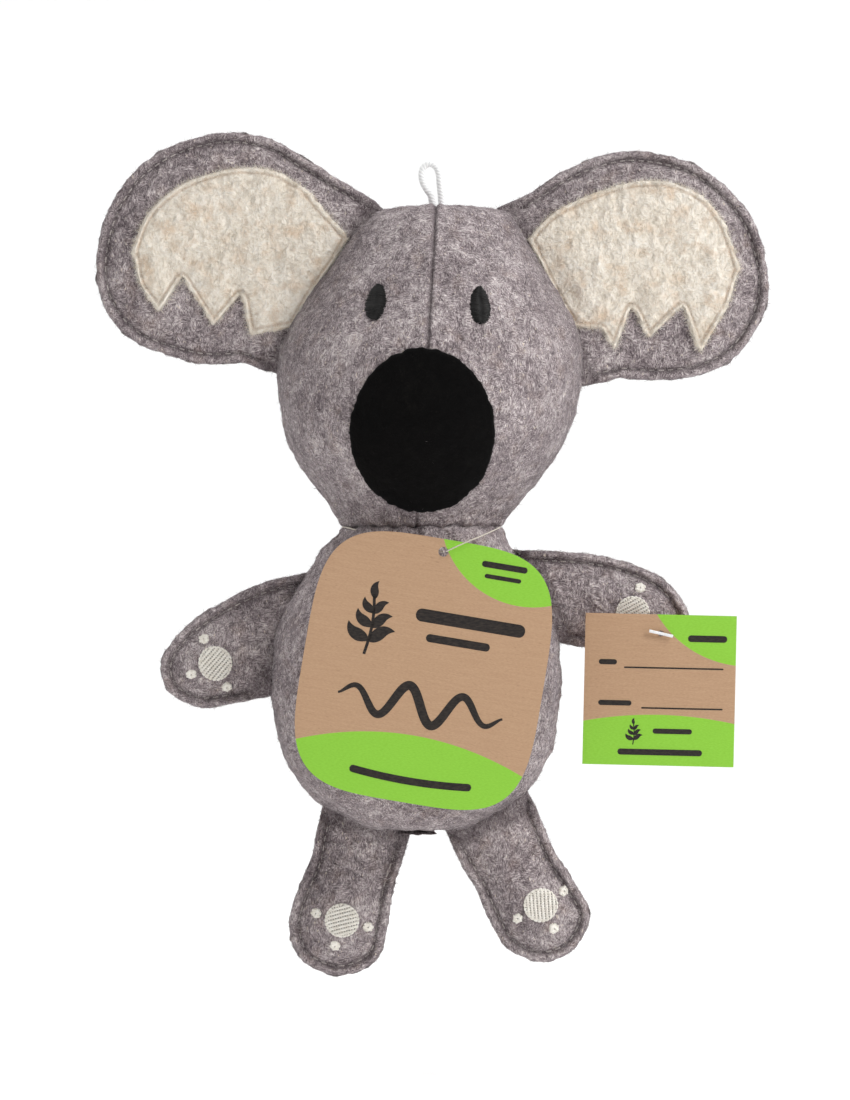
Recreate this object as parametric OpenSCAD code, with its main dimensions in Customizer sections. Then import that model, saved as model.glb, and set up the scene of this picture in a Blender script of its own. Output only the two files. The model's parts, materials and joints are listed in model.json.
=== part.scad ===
// Stuffed koala toy: felted-wool panels over stuffing, flat stitched ears, arms and legs,
// a squeaker in the belly, a hang loop on the head, a card on a neck elastic and a tag on a paw.
// Millimetres. Front is -Y, up is +Z. The origin is the top of the inside of the hang loop.
// Left and right are the koala's own, so its left side is +X.

/* [Cloth] */
// Thickness of the felted wool
wool_t = 1.6; // [1.2:0.1:1.8]
// Thickness of the cream fleece in the ears
fleece_t = 1.5; // [1:0.1:2]
// Space left between sewn layers
layer_gap = 0.2; // [0.1:0.05:0.3]

/* [Ears and limbs] */
// Half thickness of a stuffed ear
ear_half_t = 4; // [3.6:0.1:4.4]
// Half thickness of a stuffed arm or leg
limb_half_t = 5; // [4.4:0.1:5.4]
// Length of one topstitch
stitch_len = 3.2; // [2.4:0.2:4]
// Distance from one topstitch to the next
stitch_pitch = 6; // [5:0.5:8]

/* [Neck] */
// Radius of the stuffed ball that the head turns on
neck_r = 25; // [24:0.5:25]
// Running space between the ball and its cups
neck_gap = 0.5; // [0.4:0.1:0.8]

/* [Cards] */
// Width of the big card
hang_tag_w = 78.5; // [70:0.5:80]
// Height of the big card
hang_tag_h = 86.5; // [80:0.5:92]
// Squareness of the big card's outline, from 2 for an oval to 8 for sharp corners
hang_tag_square = 4; // [2:0.5:8]
// Side of the square gift tag
gift_tag_w = 50; // [40:1:50]
// Thickness of both cards
card_t = 0.4; // [0.3:0.1:0.6]

/* [Squeaker] */
// Radius of the squeaker
squeaker_r = 22; // [18:1:22]
// Height of the squeaker at rest
squeaker_h = 24; // [20:1:24]

/* [Hidden] */

wool = [0.56, 0.52, 0.52];
cream = [0.88, 0.83, 0.75];
fill_white = [0.94, 0.94, 0.92];
thread_grey = [0.40, 0.37, 0.38];
thread_cream = [0.82, 0.79, 0.75];
black_cloth = [0.07, 0.07, 0.06];
kraft = [0.73, 0.60, 0.48];
cord_white = [0.93, 0.93, 0.92];
squeaker_plastic = [0.92, 0.92, 0.86];

// Polygons round a full turn of the head and body, and the angle of one of them
ring_n = 40;
ring_step = 360 / ring_n;
// Half of the slit left at each panel seam, in degrees
seam_half = 0.4;

// The head, from the crown down to the neck edge: height, half width, front depth, back depth
head_top = -12.7;
head_rows = [
    [-12.9, 3, 3, 3],
    [-13.6, 13, 9, 8.5],
    [-15.2, 22, 14.5, 13.5],
    [-20, 27, 20.5, 18.5],
    [-31, 33.8, 29, 26],
    [-44, 42.5, 37, 33],
    [-54, 48, 42.5, 37],
    [-64, 50.8, 46, 39],
    [-77, 49.7, 48, 38.5],
    [-91, 46, 46.5, 35.5],
    [-101, 40.5, 42, 32],
    [-108, 35, 36.5, 29.5],
    [-113, 31, 32, 27.5]
];
head_middle = [0.5, -3, -66];
// The head leans: its middle line crosses these X places at these heights
head_lean = [[-120, -2.8], [-12, 3.3]];

// The body, from the neck edge down: height, half width, front depth, back depth
body_bottom = -222.7;
body_rows = [
    [-127, 30.8, 28.8, 27.5],
    [-133, 34.5, 30, 28],
    [-140, 39.5, 31.5, 29.5],
    [-148, 44, 33.5, 31],
    [-157, 47.2, 35, 32],
    [-166, 48.2, 36, 32.5],
    [-174, 48.3, 36, 32.5],
    [-183, 47.2, 35, 32],
    [-193, 45.2, 33, 30.5],
    [-203, 40.3, 29.5, 27.5],
    [-210, 34.5, 25.5, 24],
    [-216, 26, 20, 18.5],
    [-220, 17, 13.5, 12.5],
    [-222.2, 7, 6, 5.5]
];
body_x = -4.5;
// How far the lowest point of the fill stays above the bottom panel
fill_foot = 1;
body_middle = [-4.5, -1, -172];

neck_centre = [-3, 0, -120];
neck_cup_r = neck_r + neck_gap;
// Half height of the neck cloth that shows between head and body, and of the fill in it
neck_band = 6;
neck_fill_half_h = neck_r - 6;

// Outlines of the flat sewn pieces, as X and Z, anticlockwise from the front, rounded by a
// curve through the points
ear_left_points = [
    [28.5, -13], [39, -29.5], [47, -43], [51.3, -51.5], [54, -63], [54.3, -68.5], [65, -70.5],
    [79, -71], [92, -68.7], [102, -63], [109, -53.5], [112.7, -42.5], [111.5, -29],
    [106.5, -16], [96, -4.5], [84, 2.5], [67.5, 5.3], [55, 3], [43.5, -2], [34, -8.5]
];
ear_right_points = [
    [-21.5, -12.5], [-31.5, -3.5], [-42, 3], [-51.5, 8.5], [-64, 11.3], [-76, 10.3],
    [-88, 6], [-99, -2], [-107, -14], [-111, -29], [-110.5, -41], [-105.5, -51.5],
    [-98, -58.5], [-88, -62.5], [-76, -65.5], [-64, -65.3], [-53.5, -64.3], [-52.5, -62],
    [-49, -51.5], [-43.7, -43], [-33.5, -29.3]
];
// Cream inserts, with three points along the lower edge
ear_left_insert_points = [
    [38.5, -21.5], [40, -16.5], [50, -11], [64, -6], [74, -5], [83, -6.5], [91, -11], [98, -20],
    [103, -34], [99, -47], [89.5, -62.5], [84, -46.5], [72.5, -57.5], [67, -46.5],
    [61.5, -61.5], [57, -54], [53.5, -51], [45.5, -36.5]
];
ear_right_insert_points = [
    [-32.5, -20.5], [-36.5, -13.5], [-42.5, -7], [-52, -2], [-63.5, -0.8], [-76, -3.5],
    [-86, -8.5], [-94.5, -17], [-99, -28.5], [-97, -39.5], [-90, -48.8], [-82.5, -37],
    [-72, -53.3], [-62.5, -42.3], [-60, -56.3], [-51, -50.2], [-44.5, -39], [-38, -30]
];
arm_left_points = [
    [33.8, -129.5], [40.5, -142], [47, -154.5], [51.5, -158], [63, -162.5], [76, -165],
    [85, -157], [85.3, -147], [77.5, -137.2], [63, -131], [47.5, -128.5]
];
arm_right_points = [
    [-45, -134.5], [-52, -137.3], [-65, -142.8], [-80.5, -152.5], [-89.3, -164],
    [-87, -175], [-75.5, -180.2], [-64.5, -177], [-61, -171.5], [-59.7, -167], [-53.5, -150]
];
leg_left_points = [
    [8.3, -226.5], [15, -240], [20.6, -252.5], [26, -260.5], [37, -264.9], [48, -260.7],
    [53.3, -249.5], [49, -240], [42.3, -229.5], [34, -214.8], [21, -220.5]
];
leg_right_points = [
    [-36.3, -216.5], [-39.3, -230], [-44.7, -243], [-46.9, -253.5], [-42.7, -264.3],
    [-30.5, -269.5], [-18, -264.5], [-14.3, -253], [-12.2, -240], [-9, -226], [-23, -222.5]
];

// The middle line of each flat piece, which its edges are drawn in towards
ear_left_spine = [[70, -35], [80, -34]];
ear_right_spine = [[-70, -29], [-78, -28]];
arm_left_spine = [[52, -143], [70, -150.5]];
arm_right_spine = [[-58, -156.5], [-75, -165.5]];
leg_left_spine = [[28, -233], [37.5, -249]];
leg_right_spine = [[-26, -236], [-30.5, -253]];

// The outline points between which each piece is sewn to the head or body
ear_left_root = [0, 5];
ear_right_root = [16, 21];
arm_left_root = [0, 3];
arm_right_root = [9, 11];
leg_left_root = [9, 11];
leg_right_root = [9, 11];

// Each paw's embroidered disc, and the way its three dots fan out, in degrees from +X
arm_left_pad = [67.3, -148.7, -17];
arm_right_pad = [-71.3, -165.3, 205];
leg_left_pad = [36.7, -245.7, -60];
leg_right_pad = [-29.3, -250.7, -105];
pad_r = 5.5;
dot_r = 1.6;
dot_reach = 8.8;
pad_t = 0.8;
// A stitch whose middle is nearer than this to a dot's middle is left out
dot_clear = dot_r + stitch_len / 2 + layer_gap;

// How far an edge is drawn in, as a share of the way to the spine, and its half thickness
// as a share of the full half thickness
edge_share = 0.22;
shoulder_in = 0.13;
shoulder_share = 0.72;
flat_in = 0.32;
ear_shoulder_in = 0.05;
ear_flat_in = 0.11;
curve_steps = 3;
// How much further in the inside of a ply starts, at its edge and over its flat
ply_edge_in = 0.01;
ply_inside_in = 0.02;
batting_in = 0.05;

// Nose and eyes: X, Z, half width, half height, turn in degrees
nose_place = [-2.5, -88.9, 23.5, 26.3, 0];
eye_left_place = [16.2, -48.5, 3.5, 6.1, 4];
eye_right_place = [-17.6, -47.1, 3.6, 6.1, -8];
nose_t = 1.5;
eye_t = 0.8;
patch_gap = 0.5;

// The hang loop stands just clear of the crown, and swings about the line through both ends
loop_r = 1;
loop_points = [
    [0.6, 0, -11.2], [0.2, 0, -9.4], [-1.2, 0, -7.4], [-2.4, 0, -5], [-2.8, 0, -2.6],
    [-2.3, 0, -0.4], [-0.9, 0, 0.9], [0.8, 0, 0.9], [2.3, 0, -0.4], [3, 0, -2.6],
    [3.2, 0, -5], [3.4, 0, -7.4], [3.6, 0, -9.4], [3.7, 0, -11.2]
];

// The elastic runs round the neck, behind the card, out through its hole and back
elastic_r = 0.3;
elastic_points = [
    [4.3, -35.8, -128.3], [4, -33.2, -128.2], [0, -32.2, -127.6], [-6, -30.6, -126.3],
    [-14, -27, -124], [-21.5, -20.5, -122], [-26.5, -12, -120.5], [-29.1, -2, -120],
    [-28, 9, -120], [-22.5, 18, -120], [-13, 24, -120], [-3, 26, -120], [7, 24, -120],
    [16.5, 18, -120], [22, 9, -120], [23.3, -2, -120], [22, -14, -120.8],
    [19.5, -24, -121.9], [16.5, -32, -123.2], [13, -36.3, -124.6], [8.5, -37.2, -126.6],
    [5.2, -37, -128.2]
];

// The big card hangs from its hole, leans on the belly and is turned a little
hang_tag_pivot = [4.3, -34.6, -128.3];
hang_tag_lean = -4.5;
hang_tag_turn = 9.5;
hang_tag_hole_r = 1.6;
hang_tag_hole_down = 4.2;

// The gift tag hangs on a tag pin in front of the left paw
gift_tag_pivot = [76.3, -11.2, -155.3];
gift_tag_turn = 1.3;
gift_tag_hole_r = 1;
gift_tag_hole_down = 6.3;
pin_r = 0.3;
pin_bar_r = 0.5;
pin_bar_l = 8;
pin_bar_tilt = 13;
// How far the stem runs on in front of the tag's middle
pin_proud = 1.6;

squeaker_x = -4.5;
squeaker_bottom = -186;
squeaker_wall = 1;
squeaker_disc_t = 2;
// Air left between the squeaker's pieces, and between it and its pocket in the fill
squeaker_gap = 0.1;
pocket_gap = 2;
// The bellows: folds, and how far its folds stay inside the discs and step in
bellows_folds = 4;
bellows_edge_in = 0.5;
bellows_step = 2.5;
// The plug that holds the reed: a short tube with a flange below the base
whistle_r = 4.8;
whistle_fit = 0.05;
whistle_bore_r = 3.2;
whistle_h = 9;
flange_r = whistle_r + 2;
flange_t = 1.2;
reed = [3, 0.3, 7];
pocket_r = squeaker_r + 1.5;
pocket_h = squeaker_h + 2 * pocket_gap;
// How much a cutter runs past the faces it cuts
cut = 1;

// ---- points and surfaces ----

// Catmull-Rom curve between b and c, with a before and d after
function curve_point(a, b, c, d, t) =
    0.5 * (2 * b + (c - a) * t + (2 * a - 5 * b + 4 * c - d) * t * t
    + (3 * b - a - 3 * c + d) * t * t * t);

function closed_curve(p, steps) = [
    for (i = [0 : len(p) - 1])
        for (k = [0 : steps - 1])
            curve_point(p[(i + len(p) - 1) % len(p)], p[i], p[(i + 1) % len(p)],
                p[(i + 2) % len(p)], k / steps)
];

function unit(v) = v / norm(v);

// The nearest point to p on the line from a to b
function nearest_on(a, b, p) =
    a + (b - a) * min(1, max(0, (p - a) * (b - a) / ((b - a) * (b - a))));

function head_x(z) = lookup(z, head_lean);

// A point on an egg-shaped row: angle 0 is +X and -90 is the front
function row_point(row, x, angle) = [
    x + row[1] * cos(angle),
    sin(angle) * (sin(angle) < 0 ? row[2] : row[3]),
    row[0]
];

// The same point moved depth millimetres towards the middle
function sunk(p, middle, depth) = p + unit(middle - p) * depth;

function head_point(row, angle, depth) =
    sunk(row_point(row, head_x(row[0]), angle), head_middle, depth);

function body_point(row, angle, depth) =
    sunk(row_point(row, body_x, angle), body_middle, depth);

// Depth of the face at a given X and Z
function head_column(i) = [for (row = head_rows) [row[0], row[i]]];
head_widths = head_column(1);
head_fronts = head_column(2);
function face_y(x, z) =
    -lookup(z, head_fronts) * sqrt(max(0, 1 - pow((x - head_x(z)) / lookup(z, head_widths), 2)));

// A closed skin: rings of points joined in order, with one point closing each end
module skin(start, rings, end) {
    n = len(rings[0]);
    m = len(rings);
    points = concat([start], [for (ring = rings) for (p = ring) p], [end]);
    last = len(points) - 1;
    polyhedron(points, concat(
        [for (j = [0 : n - 1]) [0, 1 + j, 1 + (j + 1) % n]],
        [for (i = [0 : m - 2]) for (j = [0 : n - 1])
            [1 + i * n + j, 1 + (i + 1) * n + (j + 1) % n, 1 + i * n + (j + 1) % n]],
        [for (i = [0 : m - 2]) for (j = [0 : n - 1])
            [1 + i * n + j, 1 + (i + 1) * n + j, 1 + (i + 1) * n + (j + 1) % n]],
        [for (j = [0 : n - 1]) [last, 1 + (m - 1) * n + (j + 1) % n, 1 + (m - 1) * n + j]]
    ));
}

// A sewn panel: an outer and an inner grid of the same size, closed along its four edges
module panel(outer, inner) {
    rows = len(outer);
    cols = len(outer[0]);
    size = rows * cols;
    points = concat([for (row = outer) for (p = row) p], [for (row = inner) for (p = row) p]);
    // a square of the skin as two triangles
    function square_faces(a, b, c, d) = [[a, b, c], [a, c, d]];
    function at(i, j) = i * cols + j;
    polyhedron(points, concat(
        [for (i = [0 : rows - 2]) for (j = [0 : cols - 2]) each
            square_faces(at(i, j), at(i, j + 1), at(i + 1, j + 1), at(i + 1, j))],
        [for (i = [0 : rows - 2]) for (j = [0 : cols - 2]) each
            square_faces(size + at(i, j), size + at(i + 1, j), size + at(i + 1, j + 1),
                size + at(i, j + 1))],
        [for (j = [0 : cols - 2]) each
            square_faces(at(0, j), size + at(0, j), size + at(0, j + 1), at(0, j + 1))],
        [for (j = [0 : cols - 2]) each
            square_faces(at(rows - 1, j + 1), size + at(rows - 1, j + 1), size + at(rows - 1, j),
                at(rows - 1, j))],
        [for (i = [0 : rows - 2]) each
            square_faces(at(i + 1, 0), size + at(i + 1, 0), size + at(i, 0), at(i, 0))],
        [for (i = [0 : rows - 2]) each
            square_faces(at(i, cols - 1), size + at(i, cols - 1), size + at(i + 1, cols - 1),
                at(i + 1, cols - 1))]
    ));
}

// Angles across a panel, from one seam to the next
function panel_angles(from, to) =
    let (steps = round((to - from) / ring_step))
    [for (i = [0 : steps]) from + seam_half + (to - from - 2 * seam_half) * i / steps];

module head_panel(from, to) {
    angles = panel_angles(from, to);
    panel([for (row = head_rows) [for (a = angles) head_point(row, a, 0)]],
        [for (row = head_rows) [for (a = angles) head_point(row, a, wool_t)]]);
}

module body_panel(from, to) {
    angles = panel_angles(from, to);
    panel([for (row = body_rows) [for (a = angles) body_point(row, a, 0)]],
        [for (row = body_rows) [for (a = angles) body_point(row, a, wool_t)]]);
}

// Once round the head or body, clockwise from above, so that the skin faces outwards
ring_angles = [for (i = [0 : ring_n - 1]) -90 - i * ring_step];
fill_depth = wool_t + 2 * layer_gap;

// Rings of the round cup that the neck ball sits in, from its rim to near its deepest point,
// at these angles above or below the ball's middle
cup_rises = [18, 32, 50, 70];
function cup_rings(side) = [
    for (rise = cup_rises)
        [for (a = ring_angles) neck_centre + neck_cup_r * [
            cos(rise) * cos(a), cos(rise) * sin(a), side * sin(rise)]]
];

// A swept cord: a ring of points at right angles to the route at each of its points
cord_sides = 8;
function cord_ring(p, along, r) =
    let (side = unit(cross(along, abs(along[2]) > 0.9 * norm(along) ? [0, 1, 0] : [0, 0, 1])),
        up = unit(cross(side, along)))
    [for (k = [0 : cord_sides - 1])
        p + r * (side * cos(k * 360 / cord_sides) - up * sin(k * 360 / cord_sides))];

module cord(route, r) {
    n = len(route);
    alongs = [for (i = [0 : n - 1]) unit(route[min(i + 1, n - 1)] - route[max(i - 1, 0)])];
    skin(route[0], [for (i = [0 : n - 1]) cord_ring(route[i], alongs[i], r)], route[n - 1]);
}

// ---- flat sewn pieces: ears, arms and legs ----

// An outline drawn in towards its spine by a share, and set at depth y
function drawn_in(outline, spine, share, y) = [
    for (p = outline)
        let (q = p + (nearest_on(spine[0], spine[1], p) - p) * share)
        [q[0], y, q[1]]
];

// One wool ply. side is -1 for the front and 1 for the back
module ply(points, spine, half_t, shoulder, flat, side) {
    outline = closed_curve(side < 0 ? [for (i = [len(points) - 1 : -1 : 0]) points[i]] : points,
        curve_steps);
    middle = (spine[0] + spine[1]) / 2;
    inner = half_t - wool_t;
    rim = half_t * edge_share;
    shoulder_inner = max(layer_gap, half_t * shoulder_share - wool_t);
    rings = [
        drawn_in(outline, spine, flat, side * half_t),
        drawn_in(outline, spine, shoulder, side * half_t * shoulder_share),
        drawn_in(outline, spine, 0, side * rim),
        drawn_in(outline, spine, ply_edge_in, side * layer_gap / 2),
        drawn_in(outline, spine, shoulder + ply_inside_in, side * shoulder_inner),
        drawn_in(outline, spine, flat + ply_inside_in, side * inner)
    ];
    skin([middle[0], side * half_t, middle[1]], rings, [middle[0], side * inner, middle[1]]);
}

// The soft layer between two plies
module batting(points, spine, half_t, shoulder, flat) {
    outline = closed_curve([for (i = [len(points) - 1 : -1 : 0]) points[i]], curve_steps);
    middle = (spine[0] + spine[1]) / 2;
    y = half_t - wool_t - layer_gap;
    thin = max(layer_gap, half_t * shoulder_share - wool_t) - layer_gap / 2;
    rings = [
        drawn_in(outline, spine, flat + batting_in, -y),
        drawn_in(outline, spine, shoulder + batting_in, -thin),
        drawn_in(outline, spine, shoulder + batting_in, thin),
        drawn_in(outline, spine, flat + batting_in, y)
    ];
    skin([middle[0], -y, middle[1]], rings, [middle[0], y, middle[1]]);
}

// A row of stitches along the free edge, drawn in by share, on the front at depth y. The root
// seam, from the first to the second of two outline points, has none, and neither have the spots
// where an embroidered dot lies.
stitch_t = 0.5;
module topstitch(points, spine, root, share, y, spots = []) {
    outline = drawn_in(closed_curve(points, curve_steps), spine, share, y);
    n = len(outline);
    lengths = [for (i = [0 : n - 1]) norm(outline[(i + 1) % n] - outline[i])];
    starts = [for (i = 0, s = 0; i <= n; s = s + (i < n ? lengths[i] : 0), i = i + 1) s];
    count = floor(starts[n] / stitch_pitch);
    for (k = [0 : count - 1]) {
        s = (k + 0.5) * starts[n] / count;
        i = [for (j = [0 : n - 1]) if (starts[j] <= s && s < starts[j + 1]) j][0];
        a = outline[i];
        b = outline[(i + 1) % n];
        p = a + (b - a) * (s - starts[i]) / lengths[i];
        on_root = i >= root[0] * curve_steps && i < root[1] * curve_steps;
        crowded = [for (spot = spots) if (norm([p[0], p[2]] - spot) < dot_clear) spot];
        if (!on_root && len(crowded) == 0)
            translate(p)
                rotate([0, -atan2(b[2] - a[2], b[0] - a[0]), 0])
                    cube([stitch_len, stitch_t, stitch_t], center = true);
    }
}

// A flat piece standing in the X-Z plane, from depth y to y - t
module standing(y, t) {
    translate([0, y, 0])
        rotate([90, 0, 0])
            linear_extrude(t)
                children();
}

// The middles of the three dots that fan out round a paw's disc
function dot_spots(pad) = [
    for (fan = [-90, 0, 90])
        [pad[0] + dot_reach * cos(pad[2] + fan), pad[1] + dot_reach * sin(pad[2] + fan)]
];

module paw_pads(pad) {
    standing(-limb_half_t - layer_gap / 2, pad_t) {
        translate([pad[0], pad[1]])
            circle(r = pad_r, $fn = 48);
        for (spot = dot_spots(pad))
            translate(spot)
                circle(r = dot_r, $fn = 24);
    }
}

module ear_ply(points, spine, side) {
    ply(points, spine, ear_half_t, ear_shoulder_in, ear_flat_in, side);
}

module ear_batting(points, spine) {
    batting(points, spine, ear_half_t, ear_shoulder_in, ear_flat_in);
}

module ear_topstitch(points, spine, root) {
    topstitch(points, spine, root, ear_flat_in, -ear_half_t - layer_gap - stitch_t / 2);
}

module ear_insert(points) {
    standing(-ear_half_t - layer_gap, fleece_t)
        polygon(points);
}

module limb_ply(points, spine, side) {
    ply(points, spine, limb_half_t, shoulder_in, flat_in, side);
}

module limb_filling(points, spine) {
    batting(points, spine, limb_half_t, shoulder_in, flat_in);
}

module limb_topstitch(points, spine, root, pad) {
    topstitch(points, spine, root, flat_in, -limb_half_t - layer_gap - stitch_t / 2,
        dot_spots(pad));
}

// ---- hang loop and head ----

module hang_loop() {
    color(cord_white)
        cord(loop_points, loop_r);
}

module head_cover_left() {
    color(wool)
        head_panel(-90, 0);
}

module head_cover_right() {
    color(wool)
        head_panel(-180, -90);
}

module head_cover_back() {
    color(wool)
        head_panel(0, 180);
}

module head_stuffing() {
    cup = cup_rings(1);
    color(fill_white)
        skin([head_x(head_top), 0, head_top - fill_depth],
            concat([for (row = head_rows) [for (a = ring_angles) head_point(row, a, fill_depth)]],
                cup),
            neck_centre + [0, 0, neck_cup_r]);
}

// A thin oval patch that follows the face
patch_n = 32;
module face_patch(place, thick, shares) {
    function patch_point(a, share, lift) =
        let (u = place[2] * share * cos(a), v = place[3] * share * sin(a),
            x = place[0] + u * cos(place[4]) - v * sin(place[4]),
            z = place[1] + u * sin(place[4]) + v * cos(place[4]))
        [x, face_y(x, z) - lift, z];
    function patch_ring(share, lift) =
        [for (k = [0 : patch_n - 1]) patch_point(-k * 360 / patch_n, share, lift)];
    top = patch_gap + thick;
    skin(patch_point(0, 0, top),
        concat([for (share = shares) patch_ring(share, top)],
            [for (i = [len(shares) - 1 : -1 : 0]) patch_ring(shares[i], patch_gap)]),
        patch_point(0, 0, patch_gap));
}

module nose_patch() {
    color(black_cloth)
        face_patch(nose_place, nose_t, [for (k = [1 : 10]) k / 10]);
}

module eye_left() {
    color(black_cloth)
        face_patch(eye_left_place, eye_t, [1]);
}

module eye_right() {
    color(black_cloth)
        face_patch(eye_right_place, eye_t, [1]);
}

// ---- ears ----

module ear_left_front_ply() {
    color(wool)
        ear_ply(ear_left_points, ear_left_spine, -1);
}

module ear_left_back_ply() {
    color(wool)
        ear_ply(ear_left_points, ear_left_spine, 1);
}

module ear_left_batting() {
    color(fill_white)
        ear_batting(ear_left_points, ear_left_spine);
}

module ear_left_insert() {
    color(cream)
        ear_insert(ear_left_insert_points);
}

module ear_left_topstitch() {
    color(thread_grey)
        ear_topstitch(ear_left_points, ear_left_spine, ear_left_root);
}

module ear_right_front_ply() {
    color(wool)
        ear_ply(ear_right_points, ear_right_spine, -1);
}

module ear_right_back_ply() {
    color(wool)
        ear_ply(ear_right_points, ear_right_spine, 1);
}

module ear_right_batting() {
    color(fill_white)
        ear_batting(ear_right_points, ear_right_spine);
}

module ear_right_insert() {
    color(cream)
        ear_insert(ear_right_insert_points);
}

module ear_right_topstitch() {
    color(thread_grey)
        ear_topstitch(ear_right_points, ear_right_spine, ear_right_root);
}

// ---- neck and body ----

// A half profile of a ball cut flat at plus and minus h
module ball_profile(r, h) {
    intersection() {
        circle(r = r, $fn = 72);
        translate([0, -h])
            square([r, 2 * h]);
    }
}

module neck_cover() {
    color(wool)
        translate(neck_centre)
            rotate_extrude($fn = 96)
                difference() {
                    ball_profile(neck_r, neck_band);
                    circle(r = neck_r - wool_t, $fn = 72);
                }
}

module neck_stuffing() {
    color(fill_white)
        translate(neck_centre)
            rotate_extrude($fn = 96)
                ball_profile(neck_r - wool_t - layer_gap, neck_fill_half_h);
}

module neck_elastic() {
    color(cord_white)
        cord(elastic_points, elastic_r);
}

module body_cover_front() {
    color(wool)
        body_panel(-180, 0);
}

module body_cover_back() {
    color(wool)
        body_panel(0, 180);
}

module body_stuffing() {
    cup = cup_rings(-1);
    color(fill_white)
        difference() {
            skin(neck_centre - [0, 0, neck_cup_r],
                concat([for (i = [len(cup) - 1 : -1 : 0]) cup[i]],
                    [for (row = body_rows) [for (a = ring_angles) body_point(row, a, fill_depth)]]),
                [body_x, 0, body_bottom + fill_depth + fill_foot]);
            translate([squeaker_x, 0, squeaker_bottom - pocket_gap])
                cylinder(r = pocket_r, h = pocket_h, $fn = 96);
        }
}

// ---- squeaker ----

module at_squeaker() {
    translate([squeaker_x, 0, squeaker_bottom])
        children();
}

module squeaker_base() {
    color(squeaker_plastic)
        at_squeaker()
            difference() {
                cylinder(r = squeaker_r, h = squeaker_disc_t, $fn = 96);
                translate([0, 0, -cut])
                    cylinder(r = whistle_r + whistle_fit, h = squeaker_disc_t + 2 * cut, $fn = 48);
            }
}

// The folded wall: its radius steps in and out between the two discs
module squeaker_bellows() {
    low = squeaker_disc_t + squeaker_gap;
    high = squeaker_h - squeaker_disc_t - squeaker_gap;
    pleat = (high - low) / (2 * bellows_folds);
    outer = [for (i = [0 : 2 * bellows_folds])
        [squeaker_r - bellows_edge_in - (i % 2 == 0 ? bellows_step : 0), low + i * pleat]];
    inner = [for (i = [2 * bellows_folds : -1 : 0]) outer[i] - [squeaker_wall, 0]];
    color(squeaker_plastic)
        at_squeaker()
            rotate_extrude($fn = 96)
                polygon(concat(outer, inner));
}

module squeaker_cap() {
    color(squeaker_plastic)
        at_squeaker()
            translate([0, 0, squeaker_h - squeaker_disc_t])
                cylinder(r = squeaker_r, h = squeaker_disc_t, $fn = 96);
}

module squeaker_whistle() {
    color(squeaker_plastic)
        at_squeaker()
            translate([0, 0, -flange_t - squeaker_gap])
                difference() {
                    union() {
                        cylinder(r = flange_r, h = flange_t, $fn = 48);
                        cylinder(r = whistle_r, h = whistle_h, $fn = 48);
                    }
                    translate([0, 0, -cut])
                        cylinder(r = whistle_bore_r, h = whistle_h + 2 * cut, $fn = 48);
                }
}

module squeaker_reed() {
    color(squeaker_plastic)
        at_squeaker()
            translate([-reed[0] / 2, -reed[1] / 2, 0])
                cube(reed);
}

// ---- arms and legs ----

module arm_left_front_ply() {
    color(wool)
        limb_ply(arm_left_points, arm_left_spine, -1);
}

module arm_left_back_ply() {
    color(wool)
        limb_ply(arm_left_points, arm_left_spine, 1);
}

module arm_left_filling() {
    color(fill_white)
        limb_filling(arm_left_points, arm_left_spine);
}

module arm_left_paw_pads() {
    color(thread_cream)
        paw_pads(arm_left_pad);
}

module arm_left_topstitch() {
    color(thread_grey)
        limb_topstitch(arm_left_points, arm_left_spine, arm_left_root, arm_left_pad);
}

module arm_right_front_ply() {
    color(wool)
        limb_ply(arm_right_points, arm_right_spine, -1);
}

module arm_right_back_ply() {
    color(wool)
        limb_ply(arm_right_points, arm_right_spine, 1);
}

module arm_right_filling() {
    color(fill_white)
        limb_filling(arm_right_points, arm_right_spine);
}

module arm_right_paw_pads() {
    color(thread_cream)
        paw_pads(arm_right_pad);
}

module arm_right_topstitch() {
    color(thread_grey)
        limb_topstitch(arm_right_points, arm_right_spine, arm_right_root, arm_right_pad);
}

module leg_left_front_ply() {
    color(wool)
        limb_ply(leg_left_points, leg_left_spine, -1);
}

module leg_left_back_ply() {
    color(wool)
        limb_ply(leg_left_points, leg_left_spine, 1);
}

module leg_left_filling() {
    color(fill_white)
        limb_filling(leg_left_points, leg_left_spine);
}

module leg_left_paw_pads() {
    color(thread_cream)
        paw_pads(leg_left_pad);
}

module leg_left_topstitch() {
    color(thread_grey)
        limb_topstitch(leg_left_points, leg_left_spine, leg_left_root, leg_left_pad);
}

module leg_right_front_ply() {
    color(wool)
        limb_ply(leg_right_points, leg_right_spine, -1);
}

module leg_right_back_ply() {
    color(wool)
        limb_ply(leg_right_points, leg_right_spine, 1);
}

module leg_right_filling() {
    color(fill_white)
        limb_filling(leg_right_points, leg_right_spine);
}

module leg_right_paw_pads() {
    color(thread_cream)
        paw_pads(leg_right_pad);
}

module leg_right_topstitch() {
    color(thread_grey)
        limb_topstitch(leg_right_points, leg_right_spine, leg_right_root, leg_right_pad);
}

// ---- cards and tag pin ----

// An outline with bowed sides: |2x / w|^k + |2y / h|^k = 1
module bowed_card(w, h, k) {
    polygon([for (a = [0 : 4 : 356])
        [w / 2 * sign(cos(a)) * pow(abs(cos(a)), 2 / k),
         h / 2 * sign(sin(a)) * pow(abs(sin(a)), 2 / k)]]);
}

module hang_tag() {
    color(kraft)
        translate(hang_tag_pivot)
            rotate([hang_tag_lean, hang_tag_turn, 0])
                standing(card_t / 2, card_t)
                    difference() {
                        translate([0, hang_tag_hole_down - hang_tag_h / 2])
                            bowed_card(hang_tag_w, hang_tag_h, hang_tag_square);
                        circle(r = hang_tag_hole_r, $fn = 48);
                    }
}

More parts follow.
